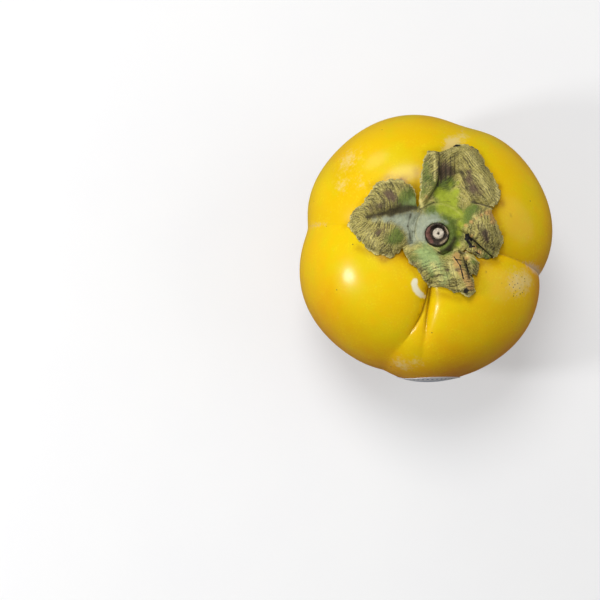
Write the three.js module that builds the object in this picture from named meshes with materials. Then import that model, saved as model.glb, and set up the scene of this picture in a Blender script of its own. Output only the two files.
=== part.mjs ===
// A four-lobed persimmon that stands on its blossom end: the fruit, its dried four-part calyx,
// the stub of its stalk and a small oval paper label low on the front.
// Millimetres, +Z up. The origin is the middle of the footprint, on the level that the fruit
// stands on.

import * as THREE from "three";

const DEG = Math.PI / 180;

// ---- Driving dimensions of the fruit ----
const LOBE_RADIUS = 40.5; // axis to the crown of a lobe, at the widest level
const WIDEST_Z = 28; // height of the widest level
const TOP_RISE = 31.5; // widest level to the crown, before the basin is pressed in
const BOTTOM_DROP = 29; // widest level to the underside; the foot is trimmed flat at z = 0
const FULLNESS = 2.35; // exponent of the side profile: 2 is an ellipse, more is squarer
const BREADTH = 0.976; // breadth from side to side, as a share of that from front to back
const SIDE_LEAN = -1.2; // how far the widest level stands to the left of the stalk
const BASIN = { depth: 6, radius: 13 }; // the hollow that the calyx sits in
const DIMPLE = { depth: 1.8, radius: 6.5 }; // the hollow at the blossom end
const RINGS = 44;
const MERIDIANS_PER_LOBE = 22;
const CROWDING = 0.6; // 0 spaces the meridians evenly; more draws them towards the furrows

// The furrows between the lobes. Angles are in degrees, round the axis from +X towards +Y.
// depth is at the widest level and shoulder is what the furrow adds close to the calyx; spread is
// the angle in which it fades by a factor e; rounding is the half-angle of its rounded floor.
const FURROWS = [
  { azimuth: -14, depth: 4.6, shoulder: 0.4, spread: 16, rounding: 1 },
  { azimuth: 72, depth: 1.7, shoulder: 0, spread: 6, rounding: 15 },
  { azimuth: 171, depth: 4, shoulder: -1.2, spread: 16, rounding: 1 },
  { azimuth: 251, depth: 1.9, shoulder: 1.6, spread: 14, rounding: 1.5 },
];

// ---- Driving dimensions of what grows on the fruit ----
const GAP = 0.4; // clearance between a piece and its neighbour
const STUB = { radius: 3.2, height: 6 };
const DISC = { radius: 8.7, bore: STUB.radius + 0.35, shift: new THREE.Vector3(-1, 0.8, 0) };
const SEPAL = { baseRadius: DISC.radius + GAP, thickness: 0.9, across: 18, along: 9 };

// Each sepal's base runs between two azimuths on a circle just outside the disc. Its margin is a
// smooth curve through [azimuth, distance from the stalk]. bulge is the height of its two
// swellings; rise is how far the margin's start, tip and end stand off the fruit.
const SEPALS = [
  {
    name: "sepal_left",
    base: [130, 198],
    margin: [
      [127, 11], [123, 15], [126, 18.5], [133, 20.9], [142, 22.8], [156, 23.5], [166, 24.8],
      [172, 25.5], [179, 24.1], [187, 22.2], [195, 20.3], [203, 16.4], [203, 13], [200, 11],
    ],
    bulge: 2.2,
    rise: [2.2, 0.3, 1],
  },
  {
    name: "sepal_back",
    base: [116, 44],
    margin: [
      [119, 10.7], [111, 14.5], [102, 19.2], [97, 23.2], [90, 23.3], [83, 24.1], [75, 26.8],
      [68, 27.5], [59, 25.8], [49, 24], [41, 22.7], [35, 21.3], [32, 18.5], [38, 13],
    ],
    bulge: 2.2,
    rise: [3.6, 0.4, 1.4],
  },
  {
    name: "sepal_right",
    base: [33, -27],
    margin: [
      [34, 11], [28, 13.6], [21, 16], [14, 16.9], [4, 17.3], [-4, 18.2], [-10, 18.8],
      [-17, 18.4], [-23, 17.1], [-27, 14], [-29, 11],
    ],
    bulge: 2.4,
    rise: [0.8, 1.2, 0.6],
  },
  {
    name: "sepal_front",
    base: [-149, -38],
    margin: [
      [-151, 10.8], [-140, 11.4], [-128, 11.8], [-113, 12.9], [-99, 15.3], [-84, 16.2],
      [-70, 18.4], [-64, 19.5], [-58, 18.9], [-52, 16.2], [-43, 14.6], [-37, 13.2], [-36, 11],
    ],
    bulge: 1.8,
    rise: [0.6, 0.6, 2.2],
  },
];

// The label is an oval piece of paper, upright on the front; its top reaches past the widest level.
const LABEL = { width: 20, height: 27, thickness: 0.3, azimuth: -88, z: 23.5, lift: 0.35 };

// ---- Shape of the fruit ----

const smooth = (from, to, x) => THREE.MathUtils.smoothstep(x, from, to);

// An angle brought into the range from minus pi to pi.
const wrapped = (angle) => Math.atan2(Math.sin(angle), Math.cos(angle));

// How much of its full depth a furrow has at a polar angle: none under the calyx, all of it on
// the shoulder and the flank, and a shallow cross on the underside.
function furrowShare(polar) {
  const start = smooth(0.27, 0.62, polar);
  const under = 1 - 0.72 * smooth(1.7, 2.5, polar);
  const end = 1 - smooth(2.95, 3.1, polar);
  return start * under * end;
}

// Depth of all the furrows together at a polar angle and an azimuth, in radians.
function furrowDepth(polar, azimuth) {
  const nearCalyx = 1 - smooth(0.6, 1.3, polar);
  return FURROWS.reduce((sum, furrow) => {
    const away = wrapped(azimuth - furrow.azimuth * DEG) / DEG;
    const aside = Math.hypot(away, furrow.rounding) - furrow.rounding;
    const depth = (furrow.depth + furrow.shoulder * nearCalyx) * furrowShare(polar);
    return sum + depth * Math.exp(-aside / furrow.spread);
  }, 0);
}

// The smooth body under the furrows: a superellipse turned round the axis, hollowed at the stalk
// and at the blossom end. Returns [distance from the axis, height].
function meridian(polar) {
  const rise = Math.cos(polar) > 0 ? TOP_RISE : BOTTOM_DROP;
  const across = Math.pow(Math.sin(polar), FULLNESS);
  const up = Math.pow((Math.abs(Math.cos(polar)) * LOBE_RADIUS) / rise, FULLNESS);
  const reach = LOBE_RADIUS / Math.pow(across + up, 1 / FULLNESS);
  const radius = reach * Math.sin(polar);
  const basin = BASIN.depth * Math.exp(-((radius / BASIN.radius) ** 2));
  const dimple = DIMPLE.depth * Math.exp(-((radius / DIMPLE.radius) ** 2));
  const hollow = Math.cos(polar) > 0 ? -basin : dimple;
  return [radius, WIDEST_Z + reach * Math.cos(polar) + hollow];
}

// Where the skin stands on a meridian, as [distance from the axis, height], raised by lift.
function skinProfile(polar, azimuth, lift = 0) {
  const step = 1e-3;
  const [radius, z] = meridian(polar);
  const [nextRadius, nextZ] = meridian(Math.min(polar + step, Math.PI));
  const [lastRadius, lastZ] = meridian(Math.max(polar - step, 0));
  const along = new THREE.Vector2(nextRadius - lastRadius, nextZ - lastZ).normalize();
  const out = lift - furrowDepth(polar, azimuth);
  return [radius - along.y * out, z + along.x * out];
}

// How far the middle of a level stands to the side of the stalk.
const lean = (polar) => SIDE_LEAN * Math.sin(polar) ** 2;

// A point of the skin, raised by lift.
function skin(polar, azimuth, lift = 0) {
  const [distance, z] = skinProfile(polar, azimuth, lift);
  const x = distance * Math.cos(azimuth) * BREADTH + lean(polar);
  return new THREE.Vector3(x, distance * Math.sin(azimuth), z);
}

// Height of the skin on the upper half, above the plan point (x, y), found by halving.
function skinHeight(x, y) {
  let low = 0;
  let high = Math.PI / 2;
  let z = 0;
  while (high - low > 1e-8) {
    const polar = (low + high) / 2;
    const across = (x - lean(polar)) / BREADTH;
    const [distance, height] = skinProfile(polar, Math.atan2(y, across));
    if (distance < Math.hypot(across, y)) low = polar;
    else high = polar;
    z = height;
  }
  return z;
}

// ---- Helpers that reshape three.js geometries ----

// Moves every vertex of a geometry to where place(vertex) puts it.
function reshaped(geometry, place) {
  const position = geometry.getAttribute("position");
  const vertex = new THREE.Vector3();
  for (let i = 0; i < position.count; i += 1) {
    vertex.fromBufferAttribute(position, i);
    position.setXYZ(i, ...place(vertex).toArray());
  }
  geometry.computeVertexNormals();
  return geometry;
}

// Lays a geometry on the fruit: its z becomes the height above the skin.
const draped = (geometry) =>
  reshaped(geometry, (v) => new THREE.Vector3(v.x, v.y, v.z + skinHeight(v.x, v.y)));

const planPoint = ([azimuth, distance]) =>
  new THREE.Vector3(distance * Math.cos(azimuth * DEG), distance * Math.sin(azimuth * DEG), 0);

// A body turned round the stalk from a profile of [radius, height above the skin].
function turned(profile, segments) {
  const points = profile.map(([radius, height]) => new THREE.Vector2(radius, height));
  return new THREE.LatheGeometry(points, segments).rotateX(Math.PI / 2);
}

function piece(name, geometry, colour, roughness) {
  const material = new THREE.MeshStandardMaterial({ color: colour, roughness, metalness: 0 });
  const mesh = new THREE.Mesh(geometry, material);
  mesh.name = name;
  return mesh;
}

// ---- The pieces ----

// Azimuth in radians of a meridian, numbered in turns: every furrow has one along its floor, and
// the others crowd towards the furrows.
function meridianAzimuth(turns) {
  const lobes = FURROWS.length;
  const place = THREE.MathUtils.euclideanModulo(turns * lobes + 1e-9, lobes);
  const lobe = Math.floor(place);
  const share = place - lobe;
  const from = FURROWS[lobe].azimuth;
  const to = lobe + 1 < lobes ? FURROWS[lobe + 1].azimuth : FURROWS[0].azimuth + 360;
  const crowded = share - (CROWDING * Math.sin(2 * Math.PI * share)) / (2 * Math.PI);
  return THREE.MathUtils.lerp(from, to, crowded) * DEG;
}

// The whole fruit, a sphere drawn out to the skin and trimmed flat where it stands.
function fruitGeometry() {
  const meridians = MERIDIANS_PER_LOBE * FURROWS.length;
  const ball = new THREE.SphereGeometry(1, meridians, RINGS).rotateX(Math.PI / 2);
  return reshaped(ball, (v) => {
    const polar = Math.acos(THREE.MathUtils.clamp(v.z, -1, 1));
    const point = skin(polar, meridianAzimuth(Math.atan2(v.y, v.x) / (2 * Math.PI)));
    point.z = Math.max(point.z, 0);
    return point;
  });
}

// The hub of the calyx: a thin disc, wider on its left, with a collar that grips the stub.
function discGeometry() {
  const collar = turned(
    [
      [DISC.bore, GAP],
      [DISC.radius - 0.5, GAP],
      [DISC.radius, GAP + 0.5],
      [DISC.radius - 0.4, GAP + 1.3],
      [7, 1.5],
      [6.1, 2.3],
      [5.2, 3.9],
      [4.5, 4.7],
      [DISC.bore, 4.5],
      [DISC.bore, GAP],
    ],
    40,
  );
  return draped(
    reshaped(collar, (v) => {
      const share = smooth(4.5, DISC.radius, Math.hypot(v.x, v.y));
      return v.addScaledVector(DISC.shift, share);
    }),
  );
}

// The stub of the stalk: bark round a sunken scar, with the pith standing in its middle.
function stubGeometry() {
  const top = STUB.height;
  return draped(
    turned(
      [
        [0, GAP],
        [STUB.radius, GAP],
        [STUB.radius, top - 0.5],
        [STUB.radius - 0.3, top],
        [STUB.radius - 0.7, top - 0.1],
        [STUB.radius - 1.2, top - 0.9],
        [1.6, top - 0.9],
        [1.4, top - 0.2],
        [0.7, top - 0.1],
        [0, top - 0.6],
      ],
      24,
    ),
  );
}

// One sepal: a sheet from its base arc to its margin, with two swellings beside the midrib.
function sepalGeometry({ base, margin, bulge, rise }) {
  const edge = new THREE.CatmullRomCurve3(margin.map(planPoint));
  const sheet = new THREE.BoxGeometry(1, 1, 1, SEPAL.across, SEPAL.along, 1);
  const outward = base[1] > base[0] ? -1 : 1;
  const [startRise, tipRise, endRise] = rise;
  return draped(
    reshaped(sheet, (v) => {
      const across = 0.5 + v.x * outward;
      const along = v.y + 0.5;
      const azimuth = THREE.MathUtils.lerp(base[0], base[1], across);
      const point = planPoint([azimuth, SEPAL.baseRadius]).add(DISC.shift);
      point.lerp(edge.getPoint(across), along);
      const swelling = bulge * Math.sin(Math.PI * along) * Math.sin(2 * Math.PI * across) ** 2;
      const sideRise = across < 0.5 ? startRise : endRise;
      const marginRise = tipRise + (sideRise - tipRise) * Math.abs(2 * across - 1) ** 1.5;
      point.z = GAP + swelling + marginRise * along ** 2 + SEPAL.thickness * (v.z + 0.5);
      return point;
    }),
  );
}

// The label: a flattened sphere whose two faces follow the skin.
function labelGeometry() {
  const ball = new THREE.SphereGeometry(1, 28, 12).rotateX(Math.PI / 2);
  const middle = LABEL.azimuth * DEG;
  let polar = Math.PI / 2;
  while (skin(polar, middle).z > LABEL.z) polar += 0.002;
  const radius = Math.hypot(skin(polar, middle).x, skin(polar, middle).y);
  const stride = skin(polar + 0.01, middle).distanceTo(skin(polar - 0.01, middle)) / 0.02;
  return reshaped(ball, (v) => {
    const face = THREE.MathUtils.clamp(v.z * 4, -1, 1);
    const lift = LABEL.lift + (LABEL.thickness * (1 + face)) / 2;
    const sideways = (v.x * LABEL.width) / 2 / radius;
    const down = (-v.y * LABEL.height) / 2 / stride;
    return skin(polar + down, middle + sideways, lift);
  });
}

const persimmon = new THREE.Group();
persimmon.name = "persimmon";
persimmon.add(
  piece("fruit", fruitGeometry(), 0xe0a70b, 0.35),
  piece("calyx_disc", discGeometry(), 0x8fa86a, 0.8),
  piece("stem_stub", stubGeometry(), 0x4a3429, 0.85),
  piece("fruit_label", labelGeometry(), 0xe9e9ee, 0.4),
);
SEPALS.forEach((sepal) => {
  persimmon.add(piece(sepal.name, sepalGeometry(sepal), 0x8b8a55, 0.85));
});

// The stalk isn't quite over the middle of the footprint, so the whole is centred by its bounds.
const bounds = new THREE.Box3().setFromObject(persimmon);
persimmon.position.set(-(bounds.min.x + bounds.max.x) / 2, -(bounds.min.y + bounds.max.y) / 2, 0);

export default persimmon;
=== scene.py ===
"""The finished look of a four-lobed persimmon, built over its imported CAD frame.

The fruit, its dried calyx, the stalk stub and the blank label are surfaces worked out with numpy
and dressed with node materials. Lengths in this file are millimetres, measured from the stalk's
foot unless a docstring says otherwise; Blender's metres appear only where a mesh or a light is made.
"""
import logging
import math
from dataclasses import dataclass, field
from enum import Enum
from typing import ClassVar

import bpy
import numpy as np
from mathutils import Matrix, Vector


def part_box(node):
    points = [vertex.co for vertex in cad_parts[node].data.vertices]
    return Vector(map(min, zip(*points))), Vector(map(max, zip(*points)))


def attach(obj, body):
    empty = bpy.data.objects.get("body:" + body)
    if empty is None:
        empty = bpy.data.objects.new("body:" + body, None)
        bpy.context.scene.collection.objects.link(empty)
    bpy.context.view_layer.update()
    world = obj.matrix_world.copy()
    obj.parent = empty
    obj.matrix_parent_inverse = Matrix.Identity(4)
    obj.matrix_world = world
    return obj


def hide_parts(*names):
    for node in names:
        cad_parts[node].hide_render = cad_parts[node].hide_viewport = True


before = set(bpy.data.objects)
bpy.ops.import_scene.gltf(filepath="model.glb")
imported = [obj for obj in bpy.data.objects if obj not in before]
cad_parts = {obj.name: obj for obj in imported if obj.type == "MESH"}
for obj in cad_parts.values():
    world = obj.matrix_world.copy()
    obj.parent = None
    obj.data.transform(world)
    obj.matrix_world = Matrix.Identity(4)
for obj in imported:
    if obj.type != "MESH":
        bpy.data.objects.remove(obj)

log = logging.getLogger("persimmon")

Array = np.ndarray
Colour = tuple[float, float, float]
MM = 0.001
DEG = math.pi / 180


# ---------------------------------------------------------------------------
# Small numeric tools
# ---------------------------------------------------------------------------


def smooth(low: float, high: float, x: Array) -> Array:
    """Smoothstep: 0 below low, 1 above high, and 3t^2 - 2t^3 between them.

    Args:
        low: Where the rise starts.
        high: Where the rise ends.
        x: Values to map.

    Returns:
        The mapped values, of the same shape as x.
    """
    t = np.clip((x - low) / (high - low), 0.0, 1.0)
    return t * t * (3.0 - 2.0 * t)


def ripple(x: Array, y: Array, wavelength: float, seed: int, waves: int = 9) -> Array:
    """Gentle irregular relief: the mean of plane waves in random directions, about -1 to 1.

    Args:
        x: First coordinate of each place.
        y: Second coordinate of each place.
        wavelength: Typical distance between two crests, in the coordinates' unit.
        seed: Seed of the directions, lengths and phases.
        waves: How many waves are added up.

    Returns:
        The relief at each place.
    """
    rng = np.random.default_rng(seed)
    total = np.zeros(np.broadcast(x, y).shape)
    for _ in range(waves):
        heading = rng.uniform(0.0, math.tau)
        pitch = math.tau / (wavelength * rng.uniform(0.6, 1.6))
        phase = rng.uniform(0.0, math.tau)
        total = total + np.sin(pitch * (x * math.cos(heading) + y * math.sin(heading)) + phase)
    return total / math.sqrt(waves)


def spline_weights(knots: int, samples: int) -> Array:
    """Weights that turn a row of control points into samples on a Catmull-Rom curve through them.

    Each sample is a cubic blend of the four nearest control points; the row is continued past
    both ends by mirroring its first and last step.

    Args:
        knots: Number of control points.
        samples: Number of evenly spread samples.

    Returns:
        A matrix of samples by knots, whose rows add up to one.
    """
    t = np.linspace(0.0, knots - 1.0, samples)
    cell = np.minimum(t.astype(int), knots - 2)
    f = t - cell
    blend = np.stack(
        [
            -0.5 * f + f**2 - 0.5 * f**3,
            1.0 - 2.5 * f**2 + 1.5 * f**3,
            0.5 * f + 2.0 * f**2 - 1.5 * f**3,
            -0.5 * f**2 + 0.5 * f**3,
        ]
    )
    padded = np.zeros((samples, knots + 2))
    for step in range(4):
        np.add.at(padded, (np.arange(samples), cell + step), blend[step])
    weights = padded[:, 1:-1].copy()
    weights[:, 0] += 2.0 * padded[:, 0]
    weights[:, 1] -= padded[:, 0]
    weights[:, -1] += 2.0 * padded[:, -1]
    weights[:, -2] -= padded[:, -1]
    return weights


# ---------------------------------------------------------------------------
# Meshes from grids
# ---------------------------------------------------------------------------


class Closure(Enum):
    """How the rows and columns of a grid join up."""

    SHEET = "open on all four sides"
    BALL = "columns join round; the first and last rows are poles"
    RING = "both rows and columns join round"


@dataclass
class Grid:
    """A surface on a grid: points of shape (rows, columns, 3) and values carried by them."""

    points: Array
    closure: Closure
    values: dict[str, Array] = field(default_factory=dict)

    def flat(self, values: Array) -> Array:
        """Lists a grid's values by vertex, with one vertex for each pole.

        Args:
            values: An array whose first two axes are the grid's.

        Returns:
            The same values with a single first axis.
        """
        if self.closure is not Closure.BALL:
            return values.reshape(-1, *values.shape[2:])
        inner = values[1:-1].reshape(-1, *values.shape[2:])
        return np.concatenate([values[:1, 0], inner, values[-1:, 0]])

    def faces(self) -> list[Array]:
        """Quads between neighbouring rows and columns, and a fan of triangles round each pole.

        Returns:
            Index arrays, one for the quads and one for each fan.
        """
        rows, columns = self.points.shape[:2]
        ball = self.closure is Closure.BALL
        index = np.arange((rows - 2 if ball else rows) * columns).reshape(-1, columns) + ball
        if self.closure is Closure.RING:
            index = np.concatenate([index, index[:1]])
        if self.closure is not Closure.SHEET:
            index = np.concatenate([index, index[:, :1]], axis=1)
        upper, lower = index[:-1], index[1:]
        corners = [lower[:, :-1], lower[:, 1:], upper[:, 1:], upper[:, :-1]]
        groups = [np.stack(corners, -1).reshape(-1, 4)]
        if ball:
            last = (rows - 2) * columns + 1
            top, bottom = index[0], index[-1]
            groups.append(np.stack([np.zeros_like(top[:-1]), top[:-1], top[1:]], -1))
            groups.append(np.stack([np.full_like(top[:-1], last), bottom[1:], bottom[:-1]], -1))
        return groups


def make_piece(name: str, grids: list[Grid], material: bpy.types.Material) -> bpy.types.Object:
    """Puts grids into one mesh, with their values as point attributes, and links the object.

    Args:
        name: Name of the piece.
        grids: Grids in millimetres in the frame's axes, carrying the same value names.
        material: The piece's finish.

    Returns:
        The new object, at the origin, unturned and unscaled.
    """
    points = np.concatenate([grid.flat(grid.points) for grid in grids]) * MM
    first = np.cumsum([0] + [len(grid.flat(grid.points)) for grid in grids])
    groups = [faces + start for grid, start in zip(grids, first) for faces in grid.faces()]
    totals = np.concatenate([np.full(len(faces), faces.shape[1]) for faces in groups])
    corners = np.concatenate([faces.ravel() for faces in groups])
    mesh = bpy.data.meshes.new(name)
    mesh.vertices.add(len(points))
    mesh.vertices.foreach_set("co", points.astype(np.float32).ravel())
    mesh.loops.add(len(corners))
    mesh.loops.foreach_set("vertex_index", corners.astype(np.int32))
    mesh.polygons.add(len(totals))
    mesh.polygons.foreach_set("loop_start", (np.cumsum(totals) - totals).astype(np.int32))
    mesh.polygons.foreach_set("loop_total", totals.astype(np.int32))
    mesh.update(calc_edges=True)
    mesh.shade_smooth()
    for key in grids[0].values:
        values = np.concatenate([grid.flat(grid.values[key]) for grid in grids])
        layer = mesh.attributes.new(key, "FLOAT", "POINT")
        layer.data.foreach_set("value", values.astype(np.float32))
    mesh.materials.append(material)
    piece = bpy.data.objects.new(name, mesh)
    bpy.context.scene.collection.objects.link(piece)
    return piece


# ---------------------------------------------------------------------------
# Shape of the fruit
# ---------------------------------------------------------------------------


TURN_ZONE = (0.55, 1.25)  # polar angles, in radians, between which a furrow's turn fades out


@dataclass(frozen=True)
class Furrow:
    """A furrow between two lobes; angles in degrees round the stalk, from +X towards +Y.

    Attributes:
        azimuth: Where it crosses the widest level.
        turn: How far round its upper end has turned by the time it meets the calyx.
        depth: Depth at the widest level.
        shoulder: What is added to the depth close to the calyx.
        spread: Angle in which it fades by a factor e.
        rounding: Half-angle of its rounded floor.
        crease: Depth of the fine line along its floor.
        cork: Strength of the cork scar along its floor.
        reach: Polar angle in radians at which the fine line has faded out.
    """

    azimuth: float
    turn: float
    depth: float
    shoulder: float
    spread: float
    rounding: float
    crease: float = 0.0
    cork: float = 0.0
    reach: float = 2.6

    def heading(self, polar: Array) -> Array:
        """Azimuth of its floor at a polar angle, in degrees."""
        return self.azimuth + self.turn * (1.0 - smooth(*TURN_ZONE, polar))


@dataclass(frozen=True)
class Mark:
    """A mark on the skin: azimuth in degrees, polar angle in radians, radius and strength."""

    azimuth: float
    polar: float
    radius: float
    strength: float = 1.0


@dataclass(frozen=True)
class FruitShape:
    """The fruit's outer form, as a function of a polar angle from the stalk and an azimuth.

    A zone is a pair of polar angles in radians. The furrows come in over calyx_zone, lose what
    shoulder adds to them over shoulder_zone and under_loss of their depth over under_zone, and
    end over tip_zone. The fine lines along their floors start over line_zone.
    """

    lobe_radius: float = 40.5
    widest_z: float = 28.0
    top_rise: float = 31.5
    bottom_drop: float = 29.0
    fullness: float = 2.35
    breadth: float = 0.976
    side_lean: float = -1.2
    basin_depth: float = 6.0
    basin_radius: float = 13.0
    dimple_depth: float = 1.8
    dimple_radius: float = 6.5
    crease_width: float = 0.5
    unevenness: float = 0.16
    calyx_zone: tuple[float, float] = (0.27, 0.62)
    shoulder_zone: tuple[float, float] = (0.6, 1.3)
    under_zone: tuple[float, float] = (1.7, 2.5)
    under_loss: float = 0.72
    tip_zone: tuple[float, float] = (2.95, 3.1)
    line_zone: tuple[float, float] = (0.3, 0.45)
    line_fade: float = 0.35
    halvings: int = 26
    furrows: tuple[Furrow, ...] = (
        Furrow(-14.0, 1.0, 4.2, 0.4, 16.0, 1.0, crease=0.3, cork=1.0),
        Furrow(72.0, 4.0, 1.7, 0.0, 6.0, 15.0, cork=0.35, reach=2.0),
        Furrow(171.0, 0.0, 4.0, -1.2, 16.0, 4.0, crease=0.05, cork=0.4),
        Furrow(251.0, 11.0, 1.9, 1.6, 14.0, 1.5, crease=0.8, reach=1.05),
    )
    pleat: Furrow = Furrow(266.0, -1.0, 0.0, 1.7, 3.4, 0.4, crease=0.8, reach=1.0)

    def meridian(self, polar: Array) -> tuple[Array, Array]:
        """The smooth body under the furrows: a superellipse, hollowed at both ends.

        The hollows are bell curves of the distance from the axis.

        Args:
            polar: Angle from the stalk, in radians.

        Returns:
            Distance from the axis, and height.
        """
        rise = np.where(np.cos(polar) > 0.0, self.top_rise, self.bottom_drop)
        across = np.sin(polar) ** self.fullness
        up = (np.abs(np.cos(polar)) * self.lobe_radius / rise) ** self.fullness
        reach = self.lobe_radius / (across + up) ** (1.0 / self.fullness)
        radius = reach * np.sin(polar)
        basin = self.basin_depth * np.exp(-((radius / self.basin_radius) ** 2))
        dimple = self.dimple_depth * np.exp(-((radius / self.dimple_radius) ** 2))
        hollow = np.where(np.cos(polar) > 0.0, -basin, dimple)
        return radius, self.widest_z + reach * np.cos(polar) + hollow

    def away(self, polar: Array, heading: Array, furrow: Furrow) -> Array:
        """Angle from a furrow's floor to each place, in degrees from -180 to 180."""
        return (heading / DEG - furrow.heading(polar) + 180.0) % 360.0 - 180.0

    def line(self, polar: Array, heading: Array, furrow: Furrow, width: float) -> Array:
        """A soft line along a furrow's floor, fading with the distance aside over its width.

        Args:
            polar: Angle from the stalk, in radians.
            heading: Azimuth of each place, in radians.
            furrow: The furrow to follow.
            width: Distance in which the line fades by a factor e.

        Returns:
            A mask from 0 to 1.
        """
        radius, _ = self.meridian(polar)
        aside = np.abs(self.away(polar, heading, furrow)) * DEG * radius
        fade = smooth(furrow.reach - self.line_fade, furrow.reach, polar)
        return np.exp(-aside / width) * (smooth(*self.line_zone, polar) * (1.0 - fade))

    def relief(self, polar: Array, heading: Array) -> Array:
        """Depth of the furrows, their fine creases and the skin's slight unevenness.

        A furrow is an exponential valley with a rounded floor. It is absent under the calyx,
        full on shoulder and flank, and a shallow cross on the underside. The unevenness is the
        sum of three slow products of sine waves of the two angles.

        Args:
            polar: Angle from the stalk, in radians.
            heading: Azimuth of each place, in radians.

        Returns:
            How far the skin lies inside the smooth body.
        """
        under = 1.0 - self.under_loss * smooth(*self.under_zone, polar)
        share = smooth(*self.calyx_zone, polar) * under * (1.0 - smooth(*self.tip_zone, polar))
        near = 1.0 - smooth(*self.shoulder_zone, polar)
        total = np.zeros(np.broadcast(polar, heading).shape)
        for furrow in (*self.furrows, self.pleat):
            aside = np.hypot(self.away(polar, heading, furrow), furrow.rounding) - furrow.rounding
            depth = (furrow.depth + furrow.shoulder * near) * share
            total += depth * np.exp(-aside / furrow.spread)
            total += furrow.crease * self.line(polar, heading, furrow, self.crease_width)
        waves = np.sin(3.0 * heading + 1.0) * np.sin(4.0 * polar)
        waves = waves + np.sin(7.0 * heading + 3.0 * polar) * np.sin(polar) ** 2
        waves = waves + 0.7 * np.sin(5.0 * heading - 9.0 * polar + 2.0) * np.sin(polar) ** 2
        return total + self.unevenness * waves

    def profile(self, polar: Array, heading: Array, lift: Array | float) -> tuple[Array, Array]:
        """Where the skin stands in the half-plane of an azimuth.

        The relief and the lift are taken along the smooth body's normal.

        Args:
            polar: Angle from the stalk, in radians.
            heading: Azimuth of the half-plane, in radians.
            lift: Distance outside the skin.

        Returns:
            Distance from the axis, and height.
        """
        step = 1e-3
        radius, z = self.meridian(polar)
        next_radius, next_z = self.meridian(np.minimum(polar + step, math.pi))
        last_radius, last_z = self.meridian(np.maximum(polar - step, 0.0))
        run, drop = next_radius - last_radius, next_z - last_z
        length = np.hypot(run, drop)
        out = lift - self.relief(polar, heading)
        return radius - drop / length * out, z + run / length * out

    def at(self, polar: Array, heading: Array, lift: Array | float = 0.0) -> Array:
        """Points of the skin, measured from the stalk's foot.

        Args:
            polar: Angle from the stalk, in radians.
            heading: Azimuth, in radians.
            lift: Distance outside the skin.

        Returns:
            Points, with x, y and z on the last axis.
        """
        distance, z = self.profile(polar, heading, lift)
        x = distance * np.cos(heading) * self.breadth + self.side_lean * np.sin(polar) ** 2
        return np.stack([x, distance * np.sin(heading), np.maximum(z, 0.0)], -1)

    def height(self, x: Array, y: Array) -> Array:
        """Height of the skin's upper half above places in plan, found by halving polar angles.

        Args:
            x: Plan x from the stalk.
            y: Plan y from the stalk.

        Returns:
            The height at each place.
        """
        low = np.zeros(x.shape)
        high = np.full(x.shape, math.pi / 2)
        z = low
        for _ in range(self.halvings):
            polar = (low + high) / 2
            across = (x - self.side_lean * np.sin(polar) ** 2) / self.breadth
            distance, z = self.profile(polar, np.arctan2(y, across), 0.0)
            inside = distance < np.hypot(across, y)
            low = np.where(inside, polar, low)
            high = np.where(inside, high, polar)
        return z


# ---------------------------------------------------------------------------
# Node trees
# ---------------------------------------------------------------------------

Socket = bpy.types.NodeSocket
Edges = tuple[tuple[str, float, float, float], ...]


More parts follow.
